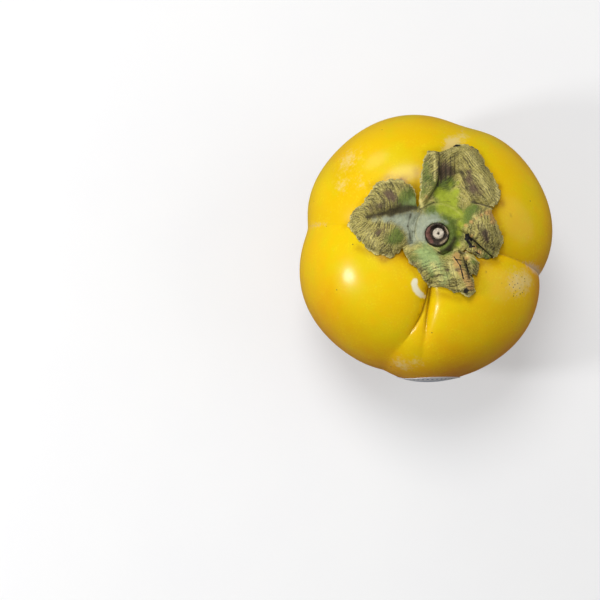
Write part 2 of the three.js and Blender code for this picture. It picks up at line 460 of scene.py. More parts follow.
class Nodes:
    """A node tree in the making."""

    def __init__(self, tree: bpy.types.NodeTree) -> None:
        """Starts from an emptied tree."""
        self.tree = tree
        tree.nodes.clear()

    def add(self, kind: str, inputs: dict | None = None, **settings: object) -> bpy.types.Node:
        """Adds a node.

        Args:
            kind: Blender's type name of the node, without its ShaderNode prefix.
            inputs: Input name or number to a socket to link or a value to set.
            **settings: Properties of the node.

        Returns:
            The new node.
        """
        node = self.tree.nodes.new("ShaderNode" + kind)
        for key, value in settings.items():
            setattr(node, key, value)
        for key, value in (inputs or {}).items():
            self.feed(node.inputs[key], value)
        return node

    def feed(self, target: Socket, value: object) -> None:
        """Links a socket to an input, or sets the input's value.

        Args:
            target: The input.
            value: A socket to link, or a value to set; a colour is given without its alpha.
        """
        if isinstance(value, bpy.types.NodeSocket):
            self.tree.links.new(value, target)
        elif isinstance(value, tuple) and target.type == "RGBA":
            target.default_value = (*value[:3], 1.0)
        else:
            target.default_value = value

    def math(self, operation: str, a: object, b: object = 0.0) -> Socket:
        """The result of a Math node on two inputs."""
        return self.add("Math", {0: a, 1: b}, operation=operation).outputs[0]

    def plus(self, a: object, b: object) -> Socket:
        """The sum of two inputs."""
        return self.math("ADD", a, b)

    def minus(self, a: object, b: object) -> Socket:
        """The first input less the second."""
        return self.math("SUBTRACT", a, b)

    def times(self, a: object, b: object) -> Socket:
        """The product of two inputs."""
        return self.math("MULTIPLY", a, b)

    def blend(self, share: object, a: object, b: object) -> Socket:
        """The colour a, replaced by the colour b as far as share says."""
        return self.add("Mix", {0: share, 6: a, 7: b}, data_type="RGBA").outputs[2]

    def coats(self, under: object, layers: tuple[tuple[Socket, object, Colour], ...]) -> Socket:
        """Colours laid over one another.

        Args:
            under: The colour underneath.
            layers: Each coat's mask, its strength where the mask is full, and its colour.

        Returns:
            The colour that is seen.
        """
        for mask, strength, colour in layers:
            under = self.blend(self.times(mask, strength), under, colour)
        return under

    def value(self, name: str) -> Socket:
        """The piece's own attribute of that name."""
        return self.add("Attribute", attribute_name=name).outputs["Fac"]

    def place(self) -> Socket:
        """Object coordinates in millimetres."""
        here = self.add("TexCoord").outputs["Object"]
        return self.add("VectorMath", {0: here, 3: 1.0 / MM}, operation="SCALE").outputs[0]

    def use(self, effect: bpy.types.NodeTree, **inputs: object) -> Socket:
        """Places a shared effect.

        Args:
            effect: The effect's group.
            **inputs: Its inputs, named in lower case.

        Returns:
            Its mask.
        """
        node = self.tree.nodes.new("ShaderNodeGroup")
        node.node_tree = effect
        for key, value in inputs.items():
            self.feed(node.inputs[key.capitalize()], value)
        return node.outputs[0]

    def bump(self, relief: object, strength: float, distance: float) -> Socket:
        """The normal of a relief, whose distance is given in millimetres."""
        inputs = {"Strength": strength, "Distance": distance * MM, "Height": relief}
        return self.add("Bump", inputs).outputs[0]

    def ramp(self, value: object, low: object, high: object) -> Socket:
        """Smoothstep of a value, from 0 at low to 1 at high."""
        inputs = {0: value, 1: low, 2: high}
        return self.add("MapRange", inputs, interpolation_type="SMOOTHSTEP").outputs[0]


def new_effect(name: str, floats: tuple[str, ...]) -> tuple[Nodes, bpy.types.NodeOutputs]:
    """Starts a shader node group with a Vector input, float inputs and one Mask output.

    Args:
        name: Name of the group.
        floats: Names of its float inputs.

    Returns:
        The group's nodes, and the inputs as they come into it.
    """
    tree = bpy.data.node_groups.new(name, "ShaderNodeTree")
    tree.interface.new_socket("Vector", in_out="INPUT", socket_type="NodeSocketVector")
    for key in floats:
        tree.interface.new_socket(key, in_out="INPUT", socket_type="NodeSocketFloat")
    tree.interface.new_socket("Mask", in_out="OUTPUT", socket_type="NodeSocketFloat")
    return Nodes(tree), tree.nodes.new("NodeGroupInput").outputs


def end_effect(nodes: Nodes, mask: Socket) -> bpy.types.NodeTree:
    """Sends the mask out of a shared effect.

    Args:
        nodes: The effect's nodes.
        mask: What it puts out.

    Returns:
        The finished group.
    """
    outlet = nodes.tree.nodes.new("NodeGroupOutput")
    nodes.tree.links.new(mask, outlet.inputs["Mask"])
    return nodes.tree


def noise(nodes: Nodes, inlet: bpy.types.NodeOutputs, detail: float, roughness: float) -> Socket:
    """Noise at an effect's Vector, in patches of its Size.

    Args:
        nodes: The effect's nodes.
        inlet: The effect's inputs.
        detail: How many finer layers of noise are added.
        roughness: How strong each is beside the one before it.

    Returns:
        The noise, around 0.5.
    """
    scale = nodes.math("DIVIDE", 1.0, inlet["Size"])
    inputs = {"Vector": inlet["Vector"], "Scale": scale, "Detail": detail, "Roughness": roughness}
    return nodes.add("TexNoise", inputs).outputs[0]


class Effects:
    """Effects that several finishes share, each a node group built once."""

    def __init__(self) -> None:
        """Builds the groups."""
        self.clouds = self._clouds()
        self.specks = self._specks()
        self.ragged = self._ragged()

    def _clouds(self) -> bpy.types.NodeTree:
        """Soft irregular patches: noise of a given size, stretched from Low to High.

        Returns:
            A group with the inputs Vector, Size, Low and High.
        """
        nodes, inlet = new_effect("soft clouds", ("Size", "Low", "High"))
        patches = noise(nodes, inlet, detail=3.0, roughness=0.6)
        return end_effect(nodes, nodes.ramp(patches, inlet["Low"], inlet["High"]))

    def _specks(self) -> bpy.types.NodeTree:
        """Scattered round dots: one in a share of the cells of a Voronoi pattern.

        Returns:
            A group with the inputs Vector, Spacing, Radius and Share.
        """
        nodes, inlet = new_effect("scattered specks", ("Spacing", "Radius", "Share"))
        scale = nodes.math("DIVIDE", 1.0, inlet["Spacing"])
        cells = nodes.add("TexVoronoi", {"Vector": inlet["Vector"], "Scale": scale})
        reach = nodes.math("DIVIDE", inlet["Radius"], inlet["Spacing"])
        dot = nodes.ramp(cells.outputs["Distance"], reach, nodes.times(reach, 0.5))
        lot = nodes.add("SeparateColor", {0: cells.outputs["Color"]}).outputs[0]
        chosen = nodes.math("LESS_THAN", lot, inlet["Share"])
        return end_effect(nodes, nodes.times(dot, chosen))

    def _ragged(self) -> bpy.types.NodeTree:
        """A painted mask with a torn edge: noise is added, and the middle is made steeper.

        Returns:
            A group with the inputs Vector, Painted, Size, Tear and Soft.
        """
        nodes, inlet = new_effect("ragged edge", ("Painted", "Size", "Tear", "Soft"))
        centred = nodes.minus(noise(nodes, inlet, detail=4.0, roughness=0.7), 0.5)
        torn = nodes.plus(inlet["Painted"], nodes.times(centred, inlet["Tear"]))
        low, high = nodes.minus(0.5, inlet["Soft"]), nodes.plus(0.5, inlet["Soft"])
        return end_effect(nodes, nodes.ramp(torn, low, high))

    def torn(self, n: Nodes, here: Socket, edges: Edges) -> dict[str, Socket]:
        """Ragged edges for a piece's painted masks.

        Args:
            n: The finish's nodes.
            here: Where the noise is read.
            edges: Each mask's name, the size of its tears, how far they reach and its softness.

        Returns:
            The masks by name.
        """
        return {
            name: n.use(
                self.ragged, vector=here, painted=n.value(name), size=size, tear=tear, soft=soft
            )
            for name, size, tear, soft in edges
        }


def new_finish(name: str) -> tuple[bpy.types.Material, Nodes]:
    """Starts a node material.

    Args:
        name: Name of the material.

    Returns:
        The material and its emptied tree.
    """
    material = bpy.data.materials.new(name)
    material.use_nodes = True
    return material, Nodes(material.node_tree)


def end_finish(nodes: Nodes, **inputs: object) -> None:
    """Ends a material with a Principled BSDF.

    Args:
        nodes: The material's nodes.
        **inputs: The shader's inputs, named in lower case with _ for each space.
    """
    shader = nodes.add("BsdfPrincipled")
    names = {socket.name.lower().replace(" ", "_"): socket for socket in shader.inputs}
    for key, value in inputs.items():
        nodes.feed(names[key], value)
    nodes.add("OutputMaterial", {"Surface": shader.outputs[0]})


# ---------------------------------------------------------------------------
# Finishes
# ---------------------------------------------------------------------------


@dataclass(frozen=True)
class SkinFinish:
    """Waxy persimmon skin: golden yellow on the shoulders, orange lower down, partly as painted shade.
    """

    golden: Colour = (0.84, 0.525, 0.001)
    lemon: Colour = (0.74, 0.58, 0.002)
    orange: Colour = (0.72, 0.26, 0.001)
    pale: Colour = (0.88, 0.68, 0.010)
    scuffed: Colour = (0.82, 0.64, 0.28)
    cork: Colour = (0.74, 0.56, 0.36)
    painted_glint: Colour = (0.86, 0.84, 0.66)
    seam: Colour = (0.20, 0.07, 0.004)
    shadow_amber: Colour = (0.42, 0.19, 0.001)
    dot: Colour = (0.06, 0.025, 0.02)
    stray_dots: float = 0.003
    roughness: float = 0.30
    specular: float = 0.1
    coat: float = 0.30
    coat_roughness: float = 0.19
    edges: Edges = (
        ("ripe_and_shade", 12.0, 0.5, 0.5),
        ("scuff", 1.2, 1.5, 0.35),
        ("cork", 0.9, 1.4, 0.3),
        ("painted_glint", 0.8, 0.5, 0.25),
    )

    def build(self, effects: Effects) -> bpy.types.Material:
        """Makes the material.

        Args:
            effects: The shared effects.

        Returns:
            The material. It reads the skin's attributes warm, tucked, scuff, cork, wax, seam and
            dotted.
        """
        material, n = new_finish("persimmon skin")
        here = n.place()
        torn = effects.torn(n, here, self.edges)
        drift = n.use(effects.clouds, vector=here, size=13.0, low=0.38, high=0.66)
        cloud = n.use(effects.clouds, vector=here, size=4.5, low=0.40, high=0.70)
        mottle = n.use(effects.clouds, vector=here, size=0.55, low=0.45, high=0.70)
        pores = n.use(effects.specks, vector=here, spacing=1.1, radius=0.27, share=0.5)
        dotted = n.plus(n.value("dotted"), self.stray_dots)
        dots = n.use(effects.specks, vector=here, spacing=0.9, radius=0.25, share=dotted)
        crowd = n.plus(n.times(cloud, 0.44), 0.10)
        crowd = n.times(crowd, n.minus(1.0, n.times(torn["ripe_and_shade"], 0.55)))
        colour = n.coats(
            self.golden,
            (
                (drift, 0.75, self.lemon),
                # Orange on the lower right and low down: partly the fruit's own colour, partly painted
                # shade.
                (torn["ripe_and_shade"], 1.0, self.orange),
                # Painted shadow: dark orange skin where the calyx's edges shade it.
                (n.value("painted_calyx_shadow"), 0.8, self.shadow_amber),
                (mottle, crowd, self.pale),
                (pores, crowd, self.pale),
                (torn["scuff"], 0.7, self.scuffed),
                (torn["cork"], 0.8, self.cork),
                # Painted shade along the crease floors, plus the blossom scar and single dark dots.
                (n.value("seam"), 1.0, self.seam),
                # Painted highlight: a pale crescent standing in for a reflection in the hollow beside
                # the front pleat.
                (torn["painted_glint"], 0.85, self.painted_glint),
                (dots, 0.85, self.dot),
            ),
        )
        facing = n.add("LayerWeight", {"Blend": 0.5}).outputs["Facing"]
        kept = n.minus(1.0, n.math("POWER", facing, 2.0))
        dry = n.plus(n.times(torn["scuff"], 0.12), n.times(torn["cork"], 0.4))
        relief = n.plus(n.times(mottle, 0.4), n.times(torn["cork"], 1.6))
        end_finish(
            n,
            base_color=colour,
            roughness=n.plus(n.plus(n.times(cloud, 0.07), self.roughness), dry),
            normal=n.bump(relief, strength=0.35, distance=0.06),
            specular_ior_level=n.times(kept, self.specular),
            coat_weight=n.times(kept, self.coat),
            coat_roughness=self.coat_roughness,
        )
        return material


@dataclass(frozen=True)
class CalyxFinish:
    """Drying calyx: lime and grey-green at the hub, olive and tan with dark ribs outwards, under painted
    highlights and painted shade.
    """

    olive: Colour = (0.075, 0.068, 0.014)
    tan: Colour = (0.52, 0.44, 0.11)
    straw: Colour = (0.74, 0.64, 0.24)
    highlight_straw: Colour = (0.84, 0.73, 0.26)
    green: Colour = (0.11, 0.18, 0.022)
    mint: Colour = (0.37, 0.50, 0.18)
    lime: Colour = (0.38, 0.45, 0.025)
    bloom: Colour = (0.38, 0.43, 0.33)
    frost: Colour = (0.72, 0.78, 0.68)
    rust: Colour = (0.64, 0.37, 0.12)
    purple: Colour = (0.13, 0.075, 0.055)
    # Dark brown of the ribs, also used for painted shade.
    vein_and_shade: Colour = (0.05, 0.038, 0.02)
    burnt: Colour = (0.014, 0.012, 0.011)
    edges: Edges = (
        ("fresh", 1.2, 0.9, 0.42),
        ("mint", 1.2, 0.8, 0.42),
        ("lime", 1.6, 0.7, 0.42),
        ("bloom", 0.6, 0.9, 0.40),
        ("rust", 0.8, 1.3, 0.35),
        ("painted_highlight", 0.7, 1.1, 0.45),
        ("painted_shade_and_stripes", 0.5, 0.6, 0.45),
        ("burnt", 0.5, 1.0, 0.15),
    )
    streaked: Edges = (("purple", 0.8, 1.6, 0.35),)

    def build(self, effects: Effects) -> bpy.types.Material:
        """Makes the material.

        The colours run in streaks along the ribs: noise is read at the rib count and, much
        stretched, at the distance from the midrib. A rib is drawn at each whole rib count.

        Args:
            effects: The shared effects.

        Returns:
            The material. It reads the attributes ribs, aside, veined, rim, shaded and the
            paint's.
        """
        material, n = new_finish("drying calyx")
        here = n.place()
        ribs, veined = n.value("ribs"), n.value("veined")
        along = n.times(n.value("aside"), 6.0)
        track = n.add("CombineXYZ", {0: n.times(ribs, 1.5), 1: along, 2: 0.37}).outputs[0]
        streak = n.use(effects.clouds, vector=track, size=1.0, low=0.36, high=0.64)
        blotch = n.use(effects.clouds, vector=here, size=2.2, low=0.36, high=0.64)
        fleck = n.use(effects.clouds, vector=here, size=0.34, low=0.44, high=0.62)
        peppered = n.use(effects.specks, vector=here, spacing=0.6, radius=0.16, share=0.5)
        wobble = n.use(effects.clouds, vector=here, size=1.6, low=0.2, high=0.8)
        near = n.math("PINGPONG", n.plus(ribs, n.times(wobble, 0.45)), 0.5)
        broken = n.use(effects.clouds, vector=here, size=1.5, low=0.36, high=0.60)
        drawn = n.times(n.times(n.ramp(near, 0.22, 0.05), veined), broken)
        cells = n.add("TexVoronoi", {"Vector": here, "Scale": 1.0}, feature="DISTANCE_TO_EDGE")
        net = n.add("MapRange", {0: cells.outputs[0], 1: 0.09, 2: 0.01})
        netted = n.times(net.outputs[0], n.times(veined, 0.32))
        torn = effects.torn(n, here, self.edges) | effects.torn(n, track, self.streaked)
        colour = n.coats(
            self.olive,
            (
                (streak, 0.85, self.tan),
                (blotch, 0.3, self.tan),
                (fleck, 0.55, self.straw),
                (torn["fresh"], 0.85, self.green),
                (torn["mint"], 0.85, self.mint),
                (torn["lime"], 0.9, self.lime),
                (torn["bloom"], 0.85, self.bloom),
                (n.times(torn["bloom"], peppered), 0.5, self.frost),
                (torn["rust"], 0.8, self.rust),
                (n.value("rim"), 0.75, self.straw),
                # Painted highlight: pale straw on lit ridges, lobes and margins.
                (torn["painted_highlight"], 0.9, self.highlight_straw),
                (torn["purple"], 0.88, self.purple),
                (netted, 1.0, self.vein_and_shade),
                # Painted shade in valleys, sepal gaps, under flaps and round the collar, with some of
                # the sepals' own dark stripes.
                (torn["painted_shade_and_stripes"], 0.88, self.vein_and_shade),
                (drawn, 0.82, self.vein_and_shade),
                (n.value("shaded"), 0.85, self.vein_and_shade),
                (peppered, 0.30, self.purple),
                (torn["burnt"], 1.0, self.burnt),
            ),
        )
        grain = n.minus(fleck, n.times(peppered, 0.6))
        grain = n.plus(grain, n.times(streak, n.times(veined, 1.5)))
        relief = n.minus(grain, n.plus(drawn, n.times(netted, 1.5)))
        end_finish(
            n,
            base_color=colour,
            roughness=n.plus(n.times(blotch, 0.15), 0.58),
            normal=n.bump(relief, strength=0.75, distance=0.1),
            specular_ior_level=0.3,
        )
        return material


@dataclass(frozen=True)
class BarkFinish:
    """The cut stalk: dark bark, a maroon hollow and a pale pith with dark pores."""

    bark: Colour = (0.026, 0.016, 0.012)
    hollow: Colour = (0.27, 0.11, 0.085)
    wood: Colour = (0.36, 0.27, 0.16)
    pith: Colour = (0.66, 0.58, 0.45)
    edges: Edges = (
        ("pith", 0.5, 0.6, 0.2),
        ("hollow", 0.6, 0.8, 0.3),
        ("wood", 0.4, 1.0, 0.3),
    )

    def build(self, effects: Effects) -> bpy.types.Material:
        """Makes the material.

        Args:
            effects: The shared effects.

        Returns:
            The material. It reads the attributes pith, hollow, wood and pored.
        """
        material, n = new_finish("cut stalk")
        here = n.place()
        grain = n.use(effects.clouds, vector=here, size=0.35, low=0.35, high=0.7)
        pores = n.use(effects.specks, vector=here, spacing=0.62, radius=0.22, share=0.75)
        torn = effects.torn(n, here, self.edges)
        colour = n.coats(
            self.bark,
            (
                (grain, 0.2, self.wood),
                (torn["hollow"], n.plus(n.times(grain, 0.5), 0.45), self.hollow),
                (torn["wood"], 0.9, self.wood),
                (torn["pith"], 1.0, self.pith),
                (n.value("pored"), 1.0, self.bark),
            ),
        )
        end_finish(
            n,
            base_color=colour,
            roughness=n.plus(n.times(grain, 0.2), 0.6),
            normal=n.bump(n.minus(grain, n.times(pores, 0.5)), strength=0.7, distance=0.12),
        )
        return material


@dataclass(frozen=True)
class LabelFinish:
    """Coated white paper with a dashed blue border and a pale blue middle.

    The border's place and half its width and the middle's edge are shares of the way out.
    """

    paper: Colour = (0.93, 0.94, 0.96)
    fibre: Colour = (0.66, 0.68, 0.74)
    line: Colour = (0.05, 0.09, 0.38)
    middle: Colour = (0.68, 0.77, 0.92)
    border: float = 0.83
    half_border: float = 0.03
    middle_edge: float = 0.66
    dashes: float = 36.0

    def build(self, effects: Effects) -> bpy.types.Material:
        """Makes the material.

        Args:
            effects: The shared effects.

        Returns:
            The material. It reads the attributes oval, 0 in the middle and 1 at the edge, and
            turn, the angle round the oval from one side, in radians.
        """
        material, n = new_finish("label paper")
        here = n.place()
        oval = n.value("oval")
        fibre = n.use(effects.clouds, vector=here, size=0.5, low=0.3, high=0.8)
        off = n.math("ABSOLUTE", n.minus(oval, self.border))
        wave = n.math("SINE", n.times(n.value("turn"), self.dashes))
        dash = n.math("GREATER_THAN", wave, 0.2)
        line = n.times(n.math("LESS_THAN", off, self.half_border), dash)
        colour = n.coats(
            self.paper,
            (
                (fibre, 0.12, self.fibre),
                (n.math("LESS_THAN", oval, self.middle_edge), 0.8, self.middle),
                (line, 1.0, self.line),
            ),
        )
        end_finish(
            n,
            base_color=colour,
            roughness=n.plus(n.times(fibre, 0.08), 0.3),
            normal=n.bump(fibre, strength=0.15, distance=0.02),
        )
        return material


@dataclass(frozen=True)
class FloorFinish:
    """A matt, nearly white sweep that fades into the bright backdrop; distances in millimetres."""

    colour: Colour = (0.86, 0.86, 0.86)
    shade: Colour = (0.84, 0.84, 0.85)
    spill: Colour = (0.20, 0.19, 0.18)
    fade_from: float = 240.0
    fade_to: float = 650.0
    glow: float = 0.95
    near_glow: float = 0.35

    def build(self, effects: Effects) -> bpy.types.Material:
        """Makes the material.

        Args:
            effects: The shared effects.

        Returns:
            The material. The floor casts less light back on the fruit than the camera sees.
        """
        material, n = new_finish("studio floor")
        here = n.place()
        drift = n.use(effects.clouds, vector=here, size=60.0, low=0.3, high=0.7)
        direct = n.add("LightPath").outputs["Is Camera Ray"]
        colour = n.blend(direct, self.spill, n.blend(drift, self.colour, self.shade))
        away = n.add("VectorMath", {0: here}, operation="LENGTH").outputs["Value"]
        far = n.ramp(away, self.fade_from, self.fade_to)
        share = n.times(n.plus(n.times(far, 1.0 - self.near_glow), self.near_glow), direct)
        end_finish(
            n,
            base_color=n.blend(share, colour, (0.0, 0.0, 0.0)),
            roughness=0.9,
            specular_ior_level=0.1,
            emission_color=(1.0, 1.0, 1.0),
            emission_strength=n.times(share, self.glow),
        )
        return material


# ---------------------------------------------------------------------------
# The pieces
# ---------------------------------------------------------------------------


def turned(line: Array, azimuth: Array) -> tuple[Array, Array]:
    """A profile turned round the stalk.

    Args:
        line: Distance from the stalk and height of each point of the profile.
        azimuth: The azimuths at which it stands.

    Returns:
        The distances and the heights, by point and azimuth.
    """
    shape = (len(line), len(azimuth))
    return np.broadcast_to(line[:, :1], shape).copy(), np.broadcast_to(line[:, 1:], shape).copy()


Spots = tuple[tuple[float, float, float, float], ...]
Strokes = tuple[tuple[float, float, float, float, float, float], ...]


def painted(x: Array, y: Array, marks: Spots | Strokes) -> Array:
    """A mask of spots and strokes in plan, from the stalk's foot, in millimetres.

    A spot is x, y, radius and strength; a stroke is x and y of both ends, radius and strength.
    Each fades with the squared distance from it over its squared radius, and they add up.

    Args:
        x: Plan x of each place.
        y: Plan y of each place.
        marks: The spots or strokes.

    Returns:
        A mask from 0 to 1.
    """
    total = np.zeros(x.shape)
    for from_x, from_y, *to, radius, strength in marks:
        to_x, to_y = to or (from_x, from_y)
        run_x, run_y = to_x - from_x, to_y - from_y
        length = max(run_x**2 + run_y**2, 1e-6)
        share = np.clip(((x - from_x) * run_x + (y - from_y) * run_y) / length, 0.0, 1.0)
        apart = (x - from_x - share * run_x) ** 2 + (y - from_y - share * run_y) ** 2
        total += strength * np.exp(-apart / radius**2)
    return np.clip(total, 0.0, 1.0)


@dataclass(frozen=True)
class Fruit:
    """The whole fruit, one closed skin.

    The tip's and the scar's widths are polar angles in radians. The ripe fields say how much
    warmer the skin is everywhere, towards one heading, low down, and in slow drifts; towards the
    heading and low down this is partly the fruit's own orange and partly painted shade. A crease
    as deep as full_crease is drawn at full strength as a painted shade line. The strokes round
    the calyx are painted dark orange shadow on the skin under its edges, the flecks are single
    dark dots, and the cross is of cork, underneath.
    """

    shape: FruitShape
    origin: Array
    rings: int = 276
    meridians: int = 356
    crowding: float = 0.62
    top_spacing: float = 0.75
    tip_depth: float = 0.5
    tip_width: float = 0.03
    scar_width: float = 0.05
    full_crease: float = 0.6
    seam_width: float = 0.26
    cork_width: float = 1.5
    ripe_everywhere: float = 0.10
    ripe_and_shade_aside: float = 0.62
    ripe_and_shade_heading: float = -48.0
    ripe_and_shade_below: float = 0.75
    ripe_drift: float = 0.12
    scuffs: tuple[Mark, ...] = (
        Mark(-27.0, 0.88, 4.2, 0.75),
        Mark(-22.0, 1.02, 3.0, 0.5),
        Mark(136.0, 1.05, 4.5, 0.5),
        Mark(150.0, 0.95, 2.5, 0.45),
        Mark(144.0, 0.80, 2.5, 0.35),
        Mark(-103.0, 1.22, 3.2, 0.6),
        Mark(-96.0, 1.14, 2.0, 0.45),
        Mark(77.0, 0.90, 2.6, 1.0),
        Mark(80.0, 0.80, 1.8, 0.6),
        Mark(72.0, 1.02, 2.2, 0.5),
        Mark(20.0, 1.7, 5.0, 0.5),
        Mark(-150.0, 1.6, 4.0, 0.5),
        Mark(100.0, 2.0, 5.0, 0.45),
        Mark(-40.0, 2.4, 4.0, 0.5),
    )
    # Painted highlight: a pale crescent of reflection in the hollow beside the front pleat.
    painted_glints: tuple[Mark, ...] = (
        Mark(-115.5, 0.43, 0.8, 0.8),
        Mark(-115.0, 0.46, 0.9, 0.9),
        Mark(-111.5, 0.49, 1.0, 0.9),
        Mark(-107.0, 0.515, 1.0, 0.9),
        Mark(-103.0, 0.53, 0.9, 0.9),
        Mark(-99.5, 0.535, 0.7, 0.8),
    )
    dotted: tuple[Mark, ...] = (
        Mark(-31.0, 0.86, 2.6, 1.0),
        Mark(-28.0, 0.94, 2.4, 0.9),
        Mark(-25.0, 0.80, 1.6, 0.4),
        Mark(60.0, 2.6, 5.0, 0.3),
        Mark(-120.0, 2.3, 4.0, 0.3),
    )
    # Painted shadow on the skin along the calyx's edges, as strokes in plan.
    painted_calyx_shadow: Strokes = (
        (-9.4, 15, -5.2, 9.4, 2, 0.8), (-5.4, 18.5, -5.6, 11, 1.2, 0.6),
        (-18.4, 14.4, -13.4, 16.6, 1.2, 0.4), (-13.4, 16.6, -8, 16.4, 1.2, 0.4),
        (-22, -3.2, -14.8, -6.4, 1.3, 0.6), (-14.8, -6.4, -9.6, -5.2, 1.4, 0.7),
        (-9.8, -5, -3.4, -14.2, 1.1, 0.55), (-2.6, -15.4, 6.6, -17.8, 1.2, 0.6),
        (10, -16.6, 11.4, -10.6, 1.3, 0.7), (8, -5.4, 11.4, -7.8, 1.5, 0.9),
        (12, -7.6, 17.4, -6.9, 1.3, 0.7), (18.9, -4, 18.9, 0.4, 1.1, 0.5),
        (18.6, 1, 16.4, 6.6, 1.2, 0.6), (16, 7, 18.6, 9.4, 1.3, 0.7),
        (18.6, 9.4, 18.2, 14.4, 1, 0.5), (18.2, 14.4, 13.4, 23.4, 1, 0.5),
        (-3.2, 24.2, 6.8, 27.2, 0.9, 0.3), (-25.6, 3.4, -20, 11, 0.9, 0.3),
        (7, 27.4, 13.4, 24.6, 0.9, 0.4),
    )
    flecks: Spots = (
        (-9.8, 16.2, 0.4, 1.3), (14, -10.2, 0.25, 0.9), (21.4, 6.2, 0.3, 0.9),
        (-4.8, -22, 0.25, 0.8),
    )
    cross: Strokes = (
        (4, -1, 21, -5, 1.3, 0.55), (1.2, 3.8, 6.5, 20, 1.2, 0.5), (-4, 0.6, -21, 3.3, 1.3, 0.55),
        (-1.3, -3.8, -6.8, -19.9, 1.1, 0.5),
    )

    def azimuths(self) -> Array:
        """Azimuths of the meridians, in radians: one on every furrow, the rest crowded to them.

        Within a lobe the even share t becomes t - crowding * sin(2 pi t) / (2 pi).

        Returns:
            The azimuths, going once round.
        """
        at = [furrow.azimuth for furrow in self.shape.furrows]
        at.append(at[0] + 360.0)
        each = self.meridians // len(self.shape.furrows)
        share = np.arange(each) / each
        share = share - self.crowding * np.sin(math.tau * share) / math.tau
        lobes = [a + (b - a) * share for a, b in zip(at[:-1], at[1:])]
        return np.concatenate(lobes) * DEG

    def twist(self, polar: Array, azimuth: Array) -> Array:
        """How far the meridians turn round the stalk near the calyx, to follow the furrows.

        Args:
            polar: Angle from the stalk, in radians.
            azimuth: Azimuth at the widest level, in radians.

        Returns:
            The turn, in radians: a furrow's own at the furrow, and a straight-line blend
            between two furrows.
        """
        at = np.array([furrow.azimuth for furrow in self.shape.furrows])
        turns = [furrow.turn for furrow in self.shape.furrows]
        degrees = (azimuth / DEG - at[0]) % 360.0
        turn = np.interp(degrees, [*(at - at[0]), 360.0], [*turns, turns[0]])
        return turn * DEG * (1.0 - smooth(*TURN_ZONE, polar))

    def marked(self, points: Array, marks: tuple[Mark, ...]) -> Array:
        """A mask of marks: each fades with the squared distance through space over its radius.

        Args:
            points: The skin's points, from the stalk's foot.
            marks: The marks to paint.

        Returns:
            A mask from 0 to 1.
        """
        total = np.zeros(points.shape[:-1])
        for mark in marks:
            middle = self.shape.at(np.array(mark.polar), np.array(mark.azimuth * DEG))
            apart = np.sum((points - middle) ** 2, axis=-1)
            total += mark.strength * np.exp(-apart / mark.radius**2)
        return np.clip(total, 0.0, 1.0)

    def values(self, polar: Array, heading: Array, points: Array) -> dict[str, Array]:
        """What the skin's finish needs to know at each point.

        Args:
            polar: Angle from the stalk, in radians.
            heading: Azimuth of each point, in radians.
            points: The skin's points, from the stalk's foot.

        Returns:
            Masks from 0 to 1 by name.
        """
        x, y, z = points[..., 0], points[..., 1], points[..., 2]
        # Warmer towards one heading and low down: partly the fruit's own orange, partly painted shade on
        # the lower right and towards the bottom.
        aside = 0.5 + 0.5 * np.cos(heading - self.ripe_and_shade_heading * DEG)
        ripe_and_shade = self.ripe_everywhere + self.ripe_and_shade_aside * smooth(54.0, 36.0, z) * aside
        ripe_and_shade = ripe_and_shade + self.ripe_and_shade_below * smooth(40.0, 8.0, z)
        ripe_and_shade = ripe_and_shade + self.ripe_drift * ripple(x, y, 26.0, seed=3)
        seam = np.zeros(z.shape)
        cork = np.zeros(z.shape)
        for furrow in (*self.shape.furrows, self.shape.pleat):
            # A dark line along each crease floor: painted shade.
            deep = min(1.0, furrow.crease / self.full_crease)
            seam = np.maximum(seam, deep * self.shape.line(polar, heading, furrow, self.seam_width))
            streak = self.shape.line(polar, heading, furrow, self.cork_width)
            cork = np.maximum(cork, furrow.cork * streak * smooth(0.8, 1.15, polar))
        above, below = smooth(30.0, 42.0, z), smooth(16.0, 5.0, z)
        cork = np.maximum(cork, painted(x, y, self.cross) * below)
        seam = np.maximum(seam, painted(x, y, self.flecks) * above)
        scar = np.exp(-(((math.pi - polar) / self.scar_width) ** 2))
        return {
            "ripe_and_shade": np.clip(ripe_and_shade, 0.0, 1.0),
            "scuff": self.marked(points, self.scuffs),
            "cork": np.clip(cork, 0.0, 1.0),
            "painted_glint": self.marked(points, self.painted_glints),
            "seam": np.clip(np.maximum(seam * 0.75, scar), 0.0, 1.0),
            "dotted": self.marked(points, self.dotted),
            "painted_calyx_shadow": painted(x, y, self.painted_calyx_shadow) * above,
        }

    def build(self, material: bpy.types.Material) -> bpy.types.Object:
        """Makes the fruit: the shape's function on a grid of polar angles and azimuths.

        At the stalk the rings stand top_spacing times as far apart as even ones would. The
        blossom tip hangs down by tip_depth in the hollow underneath, as a bell curve of the
        polar angle.

        Args:
            material: The skin.

        Returns:
            The piece.
        """
        share = np.linspace(0.0, 1.0, self.rings)
        spacing = self.top_spacing + (1.0 - self.top_spacing) * share
        polar, azimuth = np.meshgrid(math.pi * share * spacing, self.azimuths(), indexing="ij")
        heading = azimuth + self.twist(polar, azimuth)
        points = self.shape.at(polar, heading)
        tip = self.tip_depth * np.exp(-(((math.pi - polar) / self.tip_width) ** 2))
        points[..., 2] = np.maximum(points[..., 2] - tip, 0.0)
        grid = Grid(points + self.origin, Closure.BALL, self.values(polar, heading, points))
        return make_piece("fruit_skin", [grid], material)


